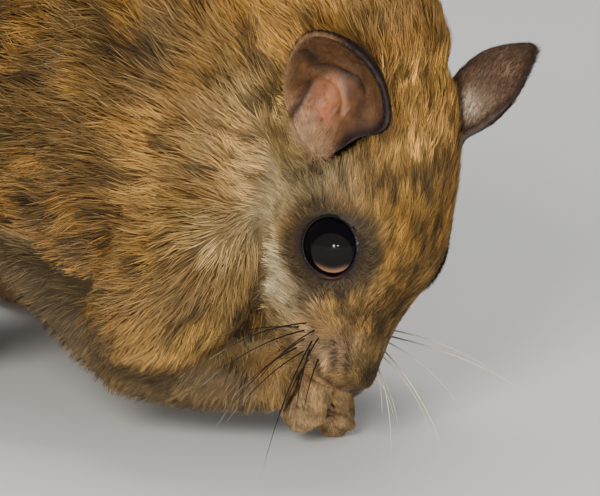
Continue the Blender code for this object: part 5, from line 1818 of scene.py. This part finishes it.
def hornMaterial(name, attribute, roughness):
    look = Look(name, Roughness=roughness)
    place = look.place()
    fine = look.noise(place, 2400.0, 2.0)
    look.set("Base Color", look.scaled(look.attribute(attribute), fine * 0.4 + 0.8))
    look.bump(fine, 0.2, 0.03 * mm)
    return look


def spikes(name, curves, sides):
    # tapered round hairs or claws: each is a list of (place, radius, colour)
    points, faces, colours = [], [], []
    for rows in curves:
        start = len(points)
        for index, (place, radius, colour) in enumerate(rows):
            before = rows[max(index - 1, 0)][0]
            after = rows[min(index + 1, len(rows) - 1)][0]
            ahead = unit(np.array(after) - np.array(before))
            first = unit(np.cross(ahead, (0.31, 0.22, 0.93)))
            second = np.cross(ahead, first)
            for side in range(sides):
                angle = 2 * math.pi * side / sides
                points.append(np.array(place) + (first * math.cos(angle) + second * math.sin(angle)) * radius)
                colours.append(colour)
        faces += [tuple(start + index for index in face) for face in ringFaces(len(rows), sides)]
    thing = meshFrom(name, points, faces)
    cleaned(thing)
    paint(thing, "hornColour", np.array(colours))
    return thing


def makeWhiskers():
    curves = []
    dark = linear(whisker["dark"])
    pale = linear(whisker["pale"])
    for side, rows in whiskerRows.items():
        for root, way in rows:
            root = np.array(root)
            way = np.array(way)
            size = np.linalg.norm(way)
            bow = np.array(whisker["bow"]) * (1.0, side, 1.0) * size
            curve = []
            for step in range(whisker["steps"] + 1):
                share = step / whisker["steps"]
                place = root - unit(way) * whisker["rootDepth"] + way * share
                place = place + bow * 4 * share * (1 - share) * 0.5
                colour = dark + (pale - dark) * smoothstep(0.75, 1.0, np.array(share)) * 0.5
                if side > 0:
                    colour = dark + (pale - dark) * smoothstep(0.0, 0.4, np.array(share))
                radius = whisker["radius"] * (1 - share) ** 0.8 + whisker["tipRadius"]
                spot = headPlaces(place)
                spot[2] = max(spot[2], 0.3 * mm)
                curve.append((spot, radius * mm, colour))
            curves.append(curve)
    thing = spikes("whiskers", curves, 6)
    dress(thing, hornMaterial("whisker", "hornColour", 0.55))
    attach(thing, "root")


claw = {
    "length": 1.7,
    "radius": 0.30,
    "tipRadius": 0.03,
    "steps": 7,
    "horn": (112, 84, 62),
    "tip": (60, 42, 32),
}
# fingertip and the way its claw points, in the body's axes
clawRows = (
    ((-9.1, -0.5, 2.7), (-0.48, -0.77, 0.30)), ((-8.8, -1.0, 4.2), (-0.48, -0.77, 0.30)),
    ((-8.6, -1.5, 5.6), (-0.48, -0.77, 0.30)), ((-8.3, -2.0, 7.1), (-0.48, -0.77, 0.30)),
    ((-8.9, -2.7, 4.8), (-0.48, 0.77, 0.30)), ((-8.6, -2.2, 6.2), (-0.48, 0.77, 0.30)),
    ((-8.4, -1.7, 7.7), (-0.48, 0.77, 0.30)), ((-8.1, -1.2, 9.1), (-0.48, 0.77, 0.30)),
    ((-56.6, 12.9, 1.0), (0.93, -0.37, 0.0)), ((-54.2, 15.1, 1.0), (0.98, -0.19, 0.0)),
    ((-53.2, 18.1, 1.0), (1.0, 0.0, 0.0)), ((-54.0, 21.2, 1.0), (0.98, 0.19, 0.0)),
    ((-56.5, 23.3, 1.0), (0.93, 0.37, 0.0)), ((-56.6, -12.9, 1.0), (0.93, 0.37, 0.0)),
    ((-54.2, -15.1, 1.0), (0.98, 0.19, 0.0)), ((-53.2, -18.1, 1.0), (1.0, 0.0, 0.0)),
    ((-54.0, -21.2, 1.0), (0.98, -0.19, 0.0)), ((-56.5, -23.3, 1.0), (0.93, -0.37, 0.0)),
)


def makeClaws():
    curves = []
    horn = linear(claw["horn"])
    tip = linear(claw["tip"])
    for place, way in clawRows:
        curve = []
        way = unit(np.array(way))
        for step in range(claw["steps"] + 1):
            share = step / claw["steps"]
            arch = np.array((0.0, 0.0, 0.28 - 0.8 * share ** 2)) * (share > 0)
            spot = np.array(place) + way * claw["length"] * share + arch
            spot[2] = max(spot[2], 0.3 - 0.2 * share)
            radius = claw["radius"] * (1 - share) + claw["tipRadius"]
            curve.append((bodyPlaces(spot), radius * mm, horn + (tip - horn) * share))
        curves.append(curve)
    thing = spikes("clawSet", curves, 10)
    dress(thing, hornMaterial("claw", "hornColour", 0.4))
    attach(thing, "root")


print("whiskers and claws")
makeWhiskers()
makeClaws()


studio = {
    "floor": (0.80, 0.79, 0.77),
    "floorGrain": (0.72, 0.71, 0.69),
    "floorSize": 6.0,
    "world": (0.86, 0.88, 0.92),
    "worldStrength": 0.35,
    "azimuth": 42.0,
    "elevation": 16.0,
    "distance": 0.8,
    "lens": 417.6,
    "target": (-90.0 / 8.7, 2.0 / 8.7),
    # name, place in metres right of, above and in front of the head as the camera sees it, size in metres,
    # watts, colour and whether it shows in the eyes
    "lights": (
        ("key", (-0.17, 0.15, 0.61), 0.22, 3.7, (1.0, 0.96, 0.90), False),
        ("fill", (0.40, 0.05, 0.50), 0.40, 0.9, (0.94, 0.97, 1.0), False),
        ("top", (0.05, 0.60, -0.05), 0.50, 1.9, (1.0, 0.98, 0.95), False),
        ("eyeLight", (-0.13, -0.14, 0.61), 0.07, 1.5, (1.0, 1.0, 1.0), True),
        ("eyeLightTwo", (0.01, -0.13, 0.62), 0.05, 0.6, (1.0, 1.0, 1.0), True),
    ),
}


def floorMaterial():
    look = Look("floor", Roughness=0.7)
    place = look.place()
    grain = look.noise(place, 30.0, 4.0)
    look.set("Base Color", look.mix(grain * 0.15, studio["floor"], studio["floorGrain"]))
    return look


bpy.ops.mesh.primitive_plane_add(size=studio["floorSize"])
floor = bpy.context.object
floor.name = "floor"
dress(floor, floorMaterial())
floor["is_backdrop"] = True

world = bpy.data.worlds.new("studio")
bpy.context.scene.world = world
world.use_nodes = True
world.node_tree.nodes["Background"].inputs["Color"].default_value = studio["world"] + (1.0,)
world.node_tree.nodes["Background"].inputs["Strength"].default_value = studio["worldStrength"]

azimuth = math.radians(studio["azimuth"])
elevation = math.radians(studio["elevation"])
back = Vector((math.sin(azimuth) * math.cos(elevation), -math.cos(azimuth) * math.cos(elevation),
               math.sin(elevation)))
right = Vector((math.cos(azimuth), math.sin(azimuth), 0.0))
upward = back.cross(right)
target = headOrigin + right * studio["target"][0] * mm + upward * studio["target"][1] * mm


def addLight(name, place, size, power, colour, inEyes):
    data = bpy.data.lights.new(name, "AREA")
    data.shape = "DISK"
    data.size = size
    data.energy = power
    data.color = colour
    lamp = bpy.data.objects.new(name, data)
    bpy.context.scene.collection.objects.link(lamp)
    lamp.location = target + right * place[0] + upward * place[1] + back * place[2]
    lamp.rotation_euler = (lamp.location - target).to_track_quat("Z", "Y").to_euler()
    lamp.visible_glossy = inEyes


for light in studio["lights"]:
    addLight(*light)

cameraData = bpy.data.cameras.new("camera")
cameraData.sensor_width = 36.0
cameraData.lens = studio["lens"]
cameraData.clip_start = 0.01
camera = bpy.data.objects.new("camera", cameraData)
bpy.context.scene.collection.objects.link(camera)
camera.location = target + back * studio["distance"]
camera.rotation_euler = back.to_track_quat("Z", "Y").to_euler()
bpy.context.scene.camera = camera

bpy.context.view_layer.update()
triangles = sum(len(polygon.vertices) - 2 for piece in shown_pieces() for polygon in piece.data.polygons)
print("triangles:", triangles)
